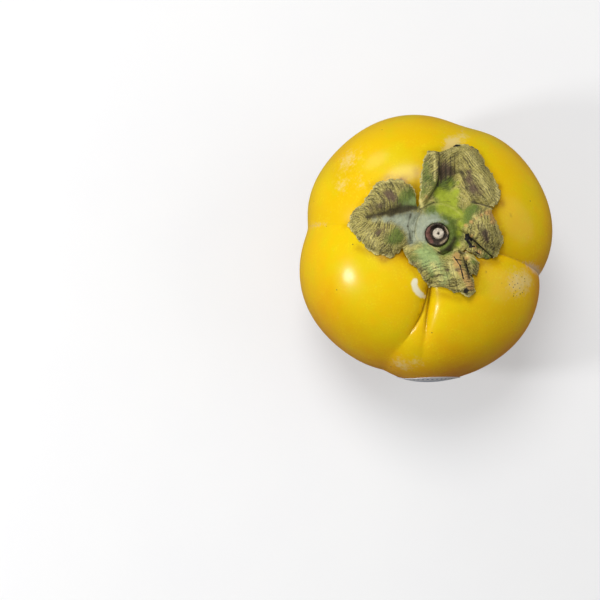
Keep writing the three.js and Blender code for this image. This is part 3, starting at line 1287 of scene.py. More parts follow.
@dataclass(frozen=True)
class CalyxPaint:
    """Where the calyx has each colour, painted highlight and painted shade, as spots and strokes in
    plan.
    """

    fresh: Spots = (
        (-7.9, 10.8, 2.8, 1), (-6.4, 9.1, 1.5, 0.8), (-10.4, 8.8, 1.6, 0.8), (-12.8, -1.4, 2, 0.8),
        (-10.8, -0.4, 2, 0.7), (-11.5, 1.6, 1.4, 0.4), (1.2, 13.3, 2.8, 1), (3.9, 15.3, 1.8, 0.8),
        (-3.2, 16.3, 2.2, 0.7), (-2.8, 19.8, 1.8, 0.5), (-3.6, 12.3, 1.5, 0.5),
        (2.6, 3.6, 5.5, 0.9), (-1.6, 7.4, 2, 0.8), (3.9, -0.9, 2.5, 1), (2.3, -4.2, 2.2, 1),
        (10.4, 7.4, 1.5, 1), (8.9, 6, 1.5, 0.9), (8.3, 3.9, 1, 0.7), (8.8, -2, 1.3, 0.5),
        (14.4, -5.5, 1.4, 0.9), (11.6, -3.2, 0.9, 0.6), (-6.2, -6.2, 2, 0.6), (-0.6, -10.6, 3, 0.6),
        (10.2, -7.4, 1.2, 0.8),
    )
    mint: Spots = (
        (-3.3, -4.3, 3, 1), (-1.7, -7.3, 2.6, 0.9), (-0.4, -9.4, 1.8, 0.6), (-6.9, 9.6, 1.4, 0.8),
        (-9.2, 8.4, 1.2, 0.5), (-3.5, 14.3, 1.2, 0.4), (3.2, -11, 2.2, 0.5), (1.6, -13.2, 1.6, 0.4),
    )
    lime: Spots = (
        (2.6, 10.6, 2.3, 1), (4.6, 9.6, 1.6, 0.9), (1, 12.4, 1.4, 0.7), (4, 14.6, 1, 0.6),
        (5.6, 12.4, 1.2, 0.8), (6.2, 15, 0.8, 0.6), (1.2, 7.8, 1.6, 0.7), (4, 6.8, 1.8, 0.8),
        (6.5, 6, 1.6, 0.8), (6.7, 3.1, 1.3, 0.8), (6.3, 0.6, 1.1, 0.8), (6.1, -2.7, 1.1, 0.7),
        (0.2, 12, 1, 0.5),
    )
    bloom: Spots = (
        (-4.7, 3.3, 3.4, 1.1), (-8.4, 4.1, 2.6, 1), (-11.3, 4.6, 1.7, 0.9), (-14.3, 4.7, 1.4, 0.8),
        (-17.3, 4.8, 1.2, 0.6), (-6.4, 0.1, 2, 0.8), (-7.4, -2.1, 1.2, 0.6), (-3.4, -0.4, 2, 0.9),
        (-0.4, 4.7, 1.8, 0.8), (2.5, 3.6, 1.2, 0.5),
    )
    rust: Spots = (
        (16, 5, 1.3, 1), (14.9, 6.4, 1, 0.9), (15.6, 3.6, 0.9, 0.7), (8.2, 2.6, 0.6, 0.9),
        (9.6, 3.6, 0.6, 0.9), (11, 4.5, 0.6, 0.9), (12.4, 5.4, 0.6, 0.9), (13.7, 6.1, 0.6, 0.9),
        (5.3, -6.1, 1.3, 1), (5.6, -8.4, 1.2, 0.9), (6.6, -10.6, 1.1, 0.9), (8, -12.4, 1.2, 0.9),
        (9.2, -14.6, 1.4, 1), (8.4, -6.6, 0.9, 0.8), (10.6, -3.2, 0.7, 0.9), (12, -4.6, 0.8, 0.8),
        (9.6, -0.4, 0.6, 0.7), (-23.3, 1.1, 0.8, 0.3), (-4.1, 9.5, 0.8, 0.4),
        (13.1, 22.8, 0.8, 0.5), (10.4, 25.4, 0.8, 0.6), (-2.8, 10.8, 0.6, 0.6),
    )
    purple: Spots = (
        (-13.8, 11.6, 1.6, 0.8), (-12.3, 10.2, 1.4, 0.8), (-15.8, 8.2, 1.3, 0.6),
        (-11, 8, 1.1, 0.5), (-16.2, 0.6, 1.5, 0.6), (-18.6, 7.1, 1.6, 0.4), (-14.6, 2, 1.2, 0.4),
        (1.2, 18.3, 1.4, 0.8), (2.6, 20, 1.8, 0.7), (3.9, 17.8, 1.5, 0.7), (1.4, 16.1, 1, 0.6),
        (9, 15.6, 1.3, 0.9), (10.2, 13, 1.4, 0.9), (9.4, 18, 1.1, 0.7), (12.3, 11.5, 1.5, 0.5),
        (13.4, 0.4, 1.3, 0.9), (13.9, -1.4, 1, 0.7), (12, 2.6, 0.9, 0.5), (-6.5, -7.7, 1.2, 0.4),
        (2.9, -10.1, 0.8, 0.6), (5.7, -10.2, 0.9, 0.6),
    )
    # Painted highlights on lit ridges, lobes and margins.
    painted_highlight: Strokes = (
        (-25, 3.3, -21.4, -3.4, 0.7, 0.8), (-21.4, -3.4, -14.6, -6.4, 0.7, 0.8),
        (-20, 1.6, -17, -2.6, 1.3, 0.45), (-17.7, 13.6, -13.9, 15.5, 0.5, 0.6),
        (-13.9, 15.5, -9.6, 15, 0.5, 0.6), (-21.6, 8, -18, 12, 0.6, 0.4),
        (-4.6, 17.6, -3.7, 22.4, 0.4, 0.7), (-3.3, 23.4, -0.4, 23.6, 0.4, 0.7),
        (-4.9, 10.4, -4, 8, 0.6, 0.7), (-0.5, 22.4, -0.7, 15, 0.35, 0.6),
        (9.6, 23.6, 11.4, 20, 1.1, 0.5), (11.8, 16.4, 15.4, 11, 1.5, 0.5),
        (16.6, 15, 17.6, 10, 0.5, 0.6), (3.4, 23.6, 6, 25.4, 0.9, 0.4),
        (10.6, 5.2, 14, 0.6, 1, 0.5), (16.6, 3.4, 18.4, -1.8, 0.5, 0.6),
        (-8.4, -3.7, -4.4, -3.1, 0.7, 0.5), (-1.2, -8.4, 0.8, -12.2, 1.3, 0.55),
        (3.6, -8.4, 4.8, -11.4, 1.1, 0.6), (-3.2, -13.2, 3.6, -15.4, 0.4, 0.6),
        (8.6, -6, 10.8, -7.2, 0.5, 0.6), (9.6, -10.6, 10.4, -14, 0.5, 0.5),
        (-2.6, -2.6, 1, -5, 0.3, 0.6), (13.6, -4.6, 15, -5.6, 0.5, 0.5),
    )
    # Painted shade in valleys, sepal gaps, under flaps and round the collar, with some of the sepals'
    # own dark stripes.
    painted_shade_and_stripes: Strokes = (
        (-18, 8.2, -9, 8.4, 1.5, 0.45), (-9.4, 14, -7, 9.6, 0.6, 0.35),
        (-5.4, 2.4, -8.6, -1.8, 0.5, 0.3), (-3, 16, -3.4, 11, 0.6, 0.3), (8, 22, 7.4, 18, 0.8, 0.4),
        (-19, -3.6, -12, -5, 0.8, 0.3), (-7, -8.6, -3.6, -12.6, 0.7, 0.35),
        (-19.5, 5.6, -13, 6.7, 0.6, 0.7), (-13, 6.7, -6, 7.8, 0.75, 0.9),
        (-12, 5.4, -8, 6.2, 1.2, 0.35), (-19, 5, -13, 5.6, 0.9, 0.35),
        (-7.4, 5.8, -8.2, 2.6, 0.3, 0.55), (-8.2, 2.6, -7.4, -1.4, 0.3, 0.55),
        (-6.2, 4.4, -6.8, 1, 0.2, 0.4), (-4.4, 7.6, -0.8, 9.4, 0.28, 0.6),
        (-0.8, 9.4, 4, 9.6, 0.25, 0.4), (0.4, 20.7, 0.4, 14, 0.3, 0.9),
        (1.5, 20.9, 1.3, 14.8, 0.24, 0.8), (2.8, 21.6, 2.6, 15.6, 0.24, 0.7),
        (4.1, 22.6, 3.9, 16.6, 0.24, 0.7), (5.3, 23.4, 5.2, 18, 0.22, 0.6),
        (6.4, 24.4, 6.4, 19.5, 0.2, 0.5), (2, 17.4, 4.8, 18.6, 1.3, 0.45),
        (7.4, 18, 8.4, 13.2, 0.55, 0.6), (8.4, 13.2, 10.6, 9.8, 0.4, 0.6),
        (7.6, 23.6, 9.6, 19.5, 0.25, 0.5), (9.6, 19.5, 11.4, 14, 0.22, 0.4),
        (11.6, 20, 13.6, 15, 0.22, 0.4), (9.9, 9.4, 15.8, 7.7, 0.4, 0.9),
        (5, -1, 3.4, -3.8, 0.8, 0.75), (3.4, -3.8, 0.4, -5, 0.6, 0.65),
        (6.4, -4.6, 7.6, -5.2, 0.5, 0.8), (7.4, -6.6, 8.6, -12.4, 0.42, 1),
        (10.4, 4.4, 12.6, -1.4, 0.22, 0.5), (12.2, 4.9, 14.2, -2, 0.22, 0.5),
        (14, 5, 15.9, -2.4, 0.22, 0.45), (12.4, 1.6, 14.2, -1.8, 0.7, 0.5),
        (-8.6, -4.6, -3.4, -12, 0.3, 0.35), (2, -9.2, 3.6, -14.6, 0.22, 0.5),
        (4, -8.4, 5.6, -15.4, 0.22, 0.5),
    )
    # Burns and cracks; the first, longest stroke is a painted shadow line in the gap under the right
    # sepal's fold.
    singed_and_fold_shadow: Strokes = (
        (7.9, 0.8, 15.9, -5.8, 0.14, 0.9), (8.2, -0.9, 9.6, -2.7, 0.45, 1),
        (9.3, -3.3, 10.6, -3.2, 0.3, 0.9), (8.3, 0, 9.8, -1.3, 0.35, 0.9),
        (11, -4.7, 12, -5.2, 0.3, 0.8), (4.6, -6.4, 6.2, -9, 0.17, 0.8),
        (6.2, -9, 7.2, -12.6, 0.2, 0.8), (5.2, -7.2, 6.6, -7.4, 0.22, 0.8),
        (8.2, -8.2, 8.8, -10.8, 0.3, 0.9), (9, -11.4, 9.8, -12, 0.3, 0.9),
        (5.4, 26.2, 7.2, 26.6, 0.35, 0.9), (10.4, 26.4, 13.4, 24, 0.2, 0.7),
    )
    burnt: Spots = (
        (8.8, 0.1, 0.5, 0.9), (8, -15.8, 0.8, 1), (6.4, 26.4, 0.45, 0.9), (13.2, 23.6, 0.3, 0.7),
        (15.9, -5.8, 0.4, 0.8), (-25, 3.8, 0.35, 0.7), (6.5, -5.9, 0.4, 0.6), (9.4, -14, 0.3, 0.7),
        (16.8, 6.2, 0.25, 0.7), (6, -13.8, 0.25, 0.6),
    )

    def values(self, x: Array, y: Array) -> dict[str, Array]:
        """The masks at places in plan, by name.

        Args:
            x: Plan x of each place.
            y: Plan y of each place.

        Returns:
            Masks from 0 to 1.
        """
        names = ("fresh", "mint", "lime", "bloom", "rust", "purple", "painted_highlight", "painted_shade_and_stripes")
        masks = {name: painted(x, y, getattr(self, name)) for name in names}
        # Burnt spots and cracks, and a painted shadow line under the right sepal's fold.
        masks["burnt"] = painted(x, y, self.burnt + self.singed_and_fold_shadow)
        return masks


class Slant(Enum):
    """How far, as a share of the leaf's length, its side ribs run forwards over its half width."""

    FORWARD = 0.5
    ACROSS = 0.3
    BACKWARD = -0.9


@dataclass(frozen=True)
class Leaf:
    """A leaf-like sheet through rows of points, from its root to its tip.

    Attributes:
        ROOT: Shares of the length between which margin and fold come in.
        SHORT_WAVE: Height and length of the waves that nick the margin.
        LONG_WAVE: Height and length of the waves that bend it.
        FOLD_WIDTH: Share of the width over which a fold's shade fades.
        GROOVE: Depth of a side rib's groove.
        DROOP: How far the margin hangs down.
        LOWEST: Least height above the skin.
        rows: Each row is x, y and the height above the skin of one point after another, from one
            side of the leaf to the other.
        midrib: Share of the way across at which the midrib lies.
        slant: Which way the side ribs run.
        count: How many side ribs fit between root and tip.
        seed: Seed of the leaf's unevenness.
        fold: Share of the way across at which a fold shades the leaf, if it has one.
    """

    ROOT: ClassVar[tuple[float, float]] = (0.12, 0.3)
    SHORT_WAVE: ClassVar[tuple[float, float]] = (0.16, 1.1)
    LONG_WAVE: ClassVar[tuple[float, float]] = (0.3, 4.0)
    FOLD_WIDTH: ClassVar[float] = 0.018
    GROOVE: ClassVar[float] = 0.06
    DROOP: ClassVar[float] = 0.25
    LOWEST: ClassVar[float] = 0.25

    rows: tuple[tuple[float, ...], ...]
    midrib: float = 0.5
    slant: Slant = Slant.FORWARD
    count: float = 13.0
    seed: int = 1
    fold: float | None = None

    def stray(self, x: Array, y: Array, seed: int) -> Array:
        """How far the margin strays from a smooth one: short waves on long ones."""
        (short, short_length), (long, long_length) = self.SHORT_WAVE, self.LONG_WAVE
        return short * ripple(x, y, short_length, seed) + long * ripple(x, y, long_length, seed + 1)

    def grid(self, shape: FruitShape, paint: CalyxPaint, down: int, over: int) -> Grid:
        """A Catmull-Rom patch through the rows, laid over the skin, with ribs and a torn margin.

        The side ribs are narrow grooves where a rib count of the way along, slanted by the
        distance from the midrib, is a whole number; slow waves bend them. The margin is moved
        in plan by short and long waves, and the sheet in height by others.

        Args:
            shape: The fruit under the leaf.
            paint: The calyx's colours in plan.
            down: Points from root to tip.
            over: Points from side to side.

        Returns:
            The sheet, from the stalk's foot, facing up.
        """
        net = np.array(self.rows).reshape(len(self.rows), -1, 3)
        patch = np.einsum(
            "ri,cj,ijk->rck", spline_weights(net.shape[0], down), spline_weights(net.shape[1], over), net
        )
        along, across = np.meshgrid(
            np.linspace(0.0, 1.0, down), np.linspace(0.0, 1.0, over), indexing="ij"
        )
        x, y, rise = patch[..., 0], patch[..., 1], patch[..., 2]
        side = np.abs(2.0 * across - 1.0)
        past_root = smooth(*self.ROOT, along)
        margin = np.maximum(smooth(0.84, 1.0, side) * past_root, smooth(0.9, 1.0, along))
        off = np.abs(across - self.midrib)
        bend = 0.45 * ripple(x, y, 7.0, self.seed)
        ribs = self.count * (along - self.slant.value * off) + bend
        groove = np.abs(2.0 * (ribs - np.floor(ribs)) - 1.0) ** 3
        veined = smooth(0.03, 0.10, off) * smooth(0.22, 0.45, along)
        shaded = np.zeros(off.shape)
        if self.fold is not None:
            shaded = np.exp(-(((across - self.fold) / self.FOLD_WIDTH) ** 2)) * past_root
        rise = rise + 0.12 * ripple(x, y, 3.0, self.seed + 1) + 0.05 * ripple(x, y, 1.2, self.seed + 2)
        rise = rise - self.GROOVE * groove * veined - self.DROOP * margin
        x = x + margin * self.stray(x, y, self.seed + 3)
        y = y + margin * self.stray(x, y, self.seed + 5)
        points = np.stack([x, y, shape.height(x, y) + np.maximum(rise, self.LOWEST)], -1)
        edge = np.maximum(smooth(0.93, 0.98, side), smooth(0.955, 0.99, along)) * past_root
        values = paint.values(x, y)
        values |= {"ribs": ribs, "aside": off, "veined": veined, "rim": edge, "shaded": shaded}
        facing = np.cross(np.diff(points, axis=0)[:, :-1], np.diff(points, axis=1)[:-1])[..., 2].mean()
        if facing > 0.0:
            return Grid(points[:, ::-1], Closure.SHEET, {k: v[:, ::-1] for k, v in values.items()})
        return Grid(points, Closure.SHEET, values)


@dataclass(frozen=True)
class Sepal:
    """One dried sepal of one or more leaf-like sheets."""

    node: str
    leaves: tuple[Leaf, ...]
    thickness: float = 0.34
    down: int = 130
    over: int = 150

    def build(
        self, shape: FruitShape, origin: Array, paint: CalyxPaint, material: bpy.types.Material
    ) -> bpy.types.Object:
        """Makes the sepal and gives its sheets their thickness.

        Args:
            shape: The fruit under the sepal.
            origin: The stalk's foot in the frame.
            paint: The calyx's colours in plan.
            material: The calyx's finish.

        Returns:
            The piece.
        """
        grids = [leaf.grid(shape, paint, self.down, self.over) for leaf in self.leaves]
        for grid in grids:
            grid.points = grid.points + origin
        piece = make_piece(f"{self.node}_leaf", grids, material)
        shell = piece.modifiers.new("thickness", "SOLIDIFY")
        shell.thickness = self.thickness * MM
        shell.offset = 0.0
        return piece


LEFT_LEAF = Leaf(
    (
        (-4, 5.5, 0.9, -4.5, 5, 1, -5, 4, 1.1, -5.2, 2.5, 1.2, -5.2, 1, 1.1, -5, -0.5, 1, -4.5, -2, 0.8),
        (-5.7, 8.5, 2.2, -6.5, 7.5, 2.7, -7.2, 5.9, 2.7, -7.9, 3.7, 1.5, -8.5, 0.7, 2, -9.1, -1.5, 1.7,
         -9.5, -3.5, 0.9),
        (-6.8, 13.8, 1, -8.6, 11.9, 2.7, -10, 8.4, 3.4, -11, 5.4, 0.8, -11.4, 2, 2.4, -11.2, -1.9, 2.3,
         -10.8, -5, 0.6),
        (-11.6, 16.1, 0.6, -12.4, 13.3, 2.3, -13.4, 8.7, 3.4, -14, 5.5, 0.9, -14.6, 1.9, 2.5, -14.7,
         -2.3, 2.4, -14.4, -6, 0.5),
        (-16.4, 15.1, 0.5, -16.6, 12.3, 1.9, -17, 8.3, 2.6, -17.4, 5.2, 0.9, -17.8, 1.9, 2.2, -18, -1.5,
         1.9, -18.2, -4.8, 0.4),
        (-19.8, 10.5, 0.4, -20, 9, 1.2, -20.4, 7, 1.6, -20.8, 4.7, 0.9, -20.8, 2.3, 1.5, -20.9, 0.3, 1.2,
         -21, -1.9, 0.4),
        (-23.2, 7.3, 0.3, -23.8, 6.3, 0.6, -24.5, 5.1, 0.6, -25.2, 3.9, 0.4, -24.4, 2.7, 0.6, -23.6, 2,
         0.6, -22.8, 1.3, 0.3),
    ),
    count=25.0,
    seed=11,
)
BACK_LEAF = Leaf(
    (
        (-3, 6, 0.9, -2.4, 6, 1, -1.8, 6, 1, -1.2, 6, 1, 1, 6.3, 1, 4, 6.5, 1.1, 5.8, 6.4, 1.2, 7, 6,
         1.2, 8, 5.4, 1.2),
        (-4.8, 8.3, 1.8, -4.2, 8.9, 2.2, -3.6, 9.3, 2.5, -2.4, 9.3, 1.3, 1.2, 10.1, 1.2, 4.7, 10.1, 1.1,
         7.1, 9.9, 1.6, 9.7, 9.3, 1.9, 12.2, 8.2, 1.5),
        (-4.6, 13.1, 1.8, -2.9, 13.2, 2.8, -1.1, 13.2, 3.5, -0.5, 13.2, 1.3, 1.9, 13.2, 1.6, 5.3, 13.4,
         1, 7.5, 13.2, 2, 11.3, 11.1, 3, 16.5, 8.1, 1.4),
        (-4.2, 17.4, 1.9, -2.2, 17, 3, 0, 16.6, 3.9, 0.7, 16.6, 1.5, 3, 16.8, 2.7, 6.2, 17, 1, 8.6, 16.4,
         2.5, 12.6, 14.4, 3.3, 17.9, 11.4, 1.2),
        (-3.5, 21.1, 1.8, -1.5, 20.7, 3, 0.4, 20.2, 3.8, 1.1, 20.2, 1.6, 3.7, 20.7, 2.9, 6.8, 20.5, 1.3,
         9.5, 19.7, 2.6, 13.1, 17.9, 3, 17.1, 15.5, 1.2),
        (-2.4, 24.1, 1.5, -1.1, 23.9, 2.2, -0.1, 23.8, 2.6, 1.1, 23.7, 1.8, 4.1, 24.6, 2.6, 7.3, 25, 1.8,
         9.7, 24, 2.5, 12.3, 22.2, 2.5, 14.3, 20.4, 1.2),
        (-2.2, 24.3, 1.2, -1.1, 24.1, 1.8, -0.1, 24, 2.2, 1.5, 23.9, 1.6, 4.3, 25.3, 2, 7, 27, 1.5, 10,
         26.7, 1.7, 12.4, 24.8, 1.8, 13.9, 22.2, 1),
    ),
    midrib=0.63,
    slant=Slant.BACKWARD,
    count=24.0,
    seed=23,
    fold=0.36,
)
RIGHT_LEAF = Leaf(
    (
        (7, 6.5, 1.3, 6.8, 5.5, 1.4, 6.6, 4, 1.4, 6.4, 2.8, 1.4, 6.2, 1.6, 1.4, 6.2, 0.8, 1, 6, -0.3,
         0.9, 5.4, -1.6, 0.8),
        (9.8, 8.2, 1.9, 9.2, 6.7, 2.5, 8.7, 4.9, 2.8, 8.2, 3.2, 3, 7.7, 1.6, 3.1, 8, 0.5, 1.1, 7.8, -1.3,
         1.1, 7.6, -3.1, 0.8),
        (12.4, 8.5, 2, 12, 6.5, 2.8, 11.4, 4.1, 3.3, 10.7, 1.5, 3.4, 9.9, -0.4, 3.4, 10.3, -1.3, 1.1,
         9.6, -2.7, 1.3, 8.9, -4.4, 0.8),
        (15.1, 7.4, 1.6, 14.9, 5, 2.8, 14.3, 2.5, 3.3, 13.4, -0.1, 3.3, 12.2, -2.3, 3.2, 12.5, -3.1, 1.1,
         11.5, -4.3, 1.2, 10.4, -5.6, 0.7),
        (16.7, 4.1, 1.2, 16.9, 2.3, 2.4, 16.5, -0.1, 2.8, 15.7, -2.3, 2.8, 14.4, -4.1, 2.8, 14.5, -4.7,
         1.1, 13.7, -5.4, 1.1, 12.9, -6.2, 0.6),
        (18.8, -0.7, 0.9, 18.7, -1.9, 1.4, 18.4, -3.3, 1.7, 17.6, -4.8, 1.8, 16.5, -6.1, 1.6, 16.3, -6.3,
         0.9, 15.8, -6.4, 0.7, 15.2, -6.5, 0.5),
    ),
    midrib=0.0,
    slant=Slant.ACROSS,
    count=15.0,
    seed=37,
    fold=0.69,
)
FRONT_LEAF = Leaf(
    (
        (-9.7, -3.4, 1.6, -7.4, -2.7, 2.6, -4.6, -2.5, 4.2, -1.6, -3.7, 4.8, 1.1, -5.6, 3.4, 3.7, -5,
         3.6, 5.7, -4.6, 2.4),
        (-8.7, -5.9, 0.8, -6.3, -5.1, 2, -3.1, -4.9, 3.1, -0.1, -5.9, 3.2, 2.5, -7.1, 2.6, 4.9, -6.9,
         3.7, 7.1, -6.3, 1.8),
        (-6.2, -8.8, 0.6, -4.2, -8, 1.7, -1.4, -8.2, 2.8, 1.2, -8.8, 2.8, 3.8, -9.4, 2.2, 6.2, -9.2, 3.8,
         8.2, -8.8, 1.6),
        (-4.2, -11.4, 0.5, -2.5, -10.9, 1.3, 0, -11.1, 2.3, 2.6, -11.7, 2.5, 5.2, -12.1, 1.8, 7.4, -11.7,
         3.7, 9.6, -11.4, 1.5),
        (-2, -13.9, 0.4, -0.7, -13.7, 0.8, 1.3, -13.9, 1.4, 3.7, -14.4, 1.7, 6.1, -14.8, 1.4, 8.5, -14.3,
         3.3, 10.4, -13.7, 1.5),
        (-0.7, -14.6, 0.3, 0.5, -14.7, 0.4, 2.1, -14.9, 0.7, 4.3, -15.8, 0.9, 6.5, -16.4, 1.1, 8.7,
         -17.1, 2.2, 10.5, -16.1, 1),
    ),
    midrib=0.72,
    slant=Slant.ACROSS,
    count=15.0,
    seed=41,
)
FRONT_FLAP = Leaf(
    (
        (5.9, -4.6, 0.9, 7.9, -4.9, 2, 10.4, -5.6, 1),
        (7.4, -7.5, 0.9, 9.4, -7.7, 2.6, 11.8, -8.4, 1),
        (8, -10.8, 0.7, 9.6, -11.4, 1.5, 11.2, -11.3, 0.7),
    ),
    count=5.0,
    seed=43,
)
SEPALS = (
    Sepal("sepal_left", (LEFT_LEAF,)),
    Sepal("sepal_back", (BACK_LEAF,)),
    Sepal("sepal_right", (RIGHT_LEAF,)),
    Sepal("sepal_front", (FRONT_LEAF, FRONT_FLAP)),
)


@dataclass(frozen=True)
class Hub:
    """The calyx's middle: a plate that grips the stub with a raised collar."""

    profile: tuple[tuple[float, float], ...] = (
        (3.3, 0.2), (3.35, 2.2), (3.4, 4.2), (3.9, 4.55), (4.7, 4.1), (5.4, 3.0), (6.2, 2.1),
        (7.4, 1.8), (8.6, 1.6), (9.3, 1.1), (8.8, 0.5), (6.0, 0.2),
    )
    plate_start: float = 5.6
    rim_radius: float = 9.3
    mean_reach: float = 8.7
    reach_swing: float = 2.8
    reach_heading: float = 55.0
    folds: float = 11.0
    fold_height: float = 0.10
    wrinkle: float = 0.28
    wrinkle_at: float = 0.86
    wrinkle_width: float = 0.35
    groove_at: float = 0.80
    groove_width: float = 0.3
    rows: int = 120
    columns: int = 220

    def build(
        self, shape: FruitShape, origin: Array, paint: CalyxPaint, material: bpy.types.Material
    ) -> bpy.types.Object:
        """Makes the hub: a closed profile carried round the stub over the skin.

        Outside the collar, distances from the stub are stretched so that the rim follows
        mean_reach + reach_swing * cos(azimuth - reach_heading); low folds run outwards. A
        wrinkle and a pale groove run round at their shares of the rim's distance.

        Args:
            shape: The fruit under the hub.
            origin: The stalk's foot in the frame.
            paint: The calyx's colours in plan.
            material: The calyx's finish.

        Returns:
            The piece.
        """
        loop = np.array(self.profile)
        weights = spline_weights(len(loop) + 1, self.rows + 1)[:-1]
        line = weights @ np.concatenate([loop, loop[:1]])
        azimuth = np.arange(self.columns) / self.columns * math.tau
        distance, rise = turned(line, azimuth)
        reach = self.mean_reach + self.reach_swing * np.cos(azimuth - self.reach_heading * DEG)
        reach = reach + 0.25 * np.sin(4.0 * azimuth + 1.0)
        beyond = np.maximum(distance - self.plate_start, 0.0) / (self.rim_radius - self.plate_start)
        distance = distance + beyond * (reach - self.rim_radius)
        x, y = distance * np.cos(azimuth), distance * np.sin(azimuth)
        upper = smooth(0.3, 1.0, rise)
        folds = np.sin(self.folds * azimuth + ripple(x, y, 9.0, seed=5)) * smooth(4.4, 7.0, distance)
        wrinkle = np.exp(-((distance - self.wrinkle_at * reach) / self.wrinkle_width) ** 2)
        rise = rise + upper * (self.fold_height * folds + 0.10 * ripple(x, y, 2.4, seed=6))
        rise = rise + upper * (0.06 * ripple(x, y, 0.9, seed=7) + self.wrinkle * wrinkle)
        points = np.stack([x, y, shape.height(x, y) + rise], -1)
        groove = np.exp(-((distance - self.groove_at * reach) / self.groove_width) ** 2)
        none = np.zeros(x.shape)
        values = paint.values(x, y)
        values |= {"ribs": 0.7 * x, "aside": 0.12 * y, "rim": 0.25 * groove}
        values |= {"veined": none, "shaded": none}
        grid = Grid(points[::-1] + origin, Closure.RING, {k: v[::-1] for k, v in values.items()})
        return make_piece("calyx_hub", [grid], material)


@dataclass(frozen=True)
class Stub:
    """The stalk's cut end: a bark wall round a hollow, with the pith standing in it."""

    profile: tuple[tuple[float, float], ...] = (
        (0.0, 5.15), (0.25, 5.2), (0.5, 5.7), (1.1, 5.75), (1.45, 5.6), (1.6, 4.9), (1.9, 4.6),
        (2.3, 4.75), (2.5, 5.6), (2.85, 6.0), (3.15, 5.75), (3.25, 4.6), (3.15, 2.0), (3.0, 0.6),
        (0.0, 0.6),
    )
    hollow: Strokes = ((-2.4, 1.7, -2.7, 0, 0.65, 1), (-2.7, 0, -1.7, -2, 0.7, 1))
    wood: Strokes = (
        (2.2, 2.2, 3, 0.2, 0.28, 1), (1, -2.4, 2.7, -1.3, 0.5, 0.8),
        (-1.9, 2.6, -1.3, 2.9, 0.3, 0.7),
    )
    pored: Spots = (
        (0.34, 0.25, 0.34, 1.2), (-0.4, 1.3, 0.14, 0.9), (0.6, 1.7, 0.2, 0.9), (1.3, 1, 0.17, 0.8),
        (1.9, -0.2, 0.3, 1), (-1.5, 0.4, 0.3, 0.6),
    )
    pith_shift: tuple[float, float] = (0.34, 0.30)
    wall_zone: tuple[float, float] = (2.2, 2.8)
    crack_depth: float = 0.22
    rows: int = 110
    columns: int = 140

    def build(
        self, shape: FruitShape, origin: Array, material: bpy.types.Material
    ) -> bpy.types.Object:
        """Makes the stub: the profile turned round the stalk, with an uneven, cracked rim.

        Args:
            shape: The fruit under the stub.
            origin: The stalk's foot in the frame.
            material: The cut stalk's finish.

        Returns:
            The piece.
        """
        line = np.maximum(spline_weights(len(self.profile), self.rows) @ np.array(self.profile), 0.0)
        azimuth = np.arange(self.columns) / self.columns * math.tau
        distance, rise = turned(line, azimuth)
        wall = smooth(*self.wall_zone, distance)
        distance = distance * (1.0 + 0.025 * wall * np.sin(5.0 * azimuth + 0.7))
        distance[0] = 0.0
        distance[-1] = 0.0
        x = distance * np.cos(azimuth) + self.pith_shift[0] * (1.0 - wall)
        y = distance * np.sin(azimuth) + self.pith_shift[1] * (1.0 - wall)
        cracks = np.abs(np.sin(6.0 * azimuth + 1.3)) ** 9 + np.abs(np.sin(4.5 * azimuth)) ** 12
        top = smooth(3.5, 5.0, rise)
        rise = rise + top * (0.12 * ripple(x, y, 1.2, seed=9) - self.crack_depth * wall * cracks)
        foot = float(shape.height(np.zeros(1), np.zeros(1))[0])
        points = np.stack([x, y, foot + rise], -1) + origin
        values = {
            "pith": (1.0 - smooth(1.45, 1.75, distance)) * top,
            "hollow": painted(x, y, self.hollow) * top,
            "wood": painted(x, y, self.wood) * top,
            "pored": painted(x, y, self.pored) * top,
        }
        return make_piece("cut_stalk", [Grid(points, Closure.BALL, values)], material)


@dataclass(frozen=True)
class Label:
    """A blank oval label on the front of the fruit, pressed to the skin."""

    width: float = 20.0
    length: float = 27.0
    thickness: float = 0.16
    lift: float = 0.04
    azimuth: float = -88.0
    middle_z: float = 23.5
    curl: float = 0.1
    rows: int = 60
    columns: int = 120

    def build(
        self, shape: FruitShape, origin: Array, material: bpy.types.Material
    ) -> bpy.types.Object:
        """Makes the label: an oval of polar angles and azimuths, raised off the skin.

        Its top is a grid of rings from the middle out; a few rings turn over the edge and the
        rest go back to the middle underneath. The margin curls up by up to curl.

        Args:
            shape: The fruit under the label.
            origin: The stalk's foot in the frame.
            material: The label's paper.

        Returns:
            The piece.
        """
        middle = self.azimuth * DEG
        polars = np.linspace(math.pi / 2, 2.4, 400)
        track = shape.at(polars, np.full(polars.shape, middle))
        nearest = int(np.argmin(np.abs(track[:, 2] - self.middle_z)))
        stride = np.linalg.norm(track[nearest + 1] - track[nearest - 1])
        stride = stride / (polars[nearest + 1] - polars[nearest - 1])
        radius = float(np.hypot(track[nearest, 0], track[nearest, 1]))
        out = np.concatenate([np.linspace(0.0, 1.0, self.rows), np.linspace(1.0, 0.0, self.rows)])
        over = np.concatenate([np.ones(self.rows), np.zeros(self.rows)])
        turn = np.arange(self.columns) / self.columns * math.tau
        out, over = out[:, None], over[:, None]
        sideways = out * np.cos(turn) * self.width / 2 / radius
        down = -out * np.sin(turn) * self.length / 2 / stride
        curl = self.curl * smooth(0.8, 1.0, out) * (0.5 + 0.5 * np.sin(3.0 * turn + 1.0))
        lift = self.lift + self.thickness * over + curl
        points = shape.at(polars[nearest] + down, middle + sideways, lift) + origin
        oval, turn = np.broadcast_arrays(out, np.abs(turn - math.pi))
        values = {"oval": oval, "turn": turn}
        return make_piece("blank_label", [Grid(points, Closure.BALL, values)], material)


# ---------------------------------------------------------------------------
# The studio
# ---------------------------------------------------------------------------


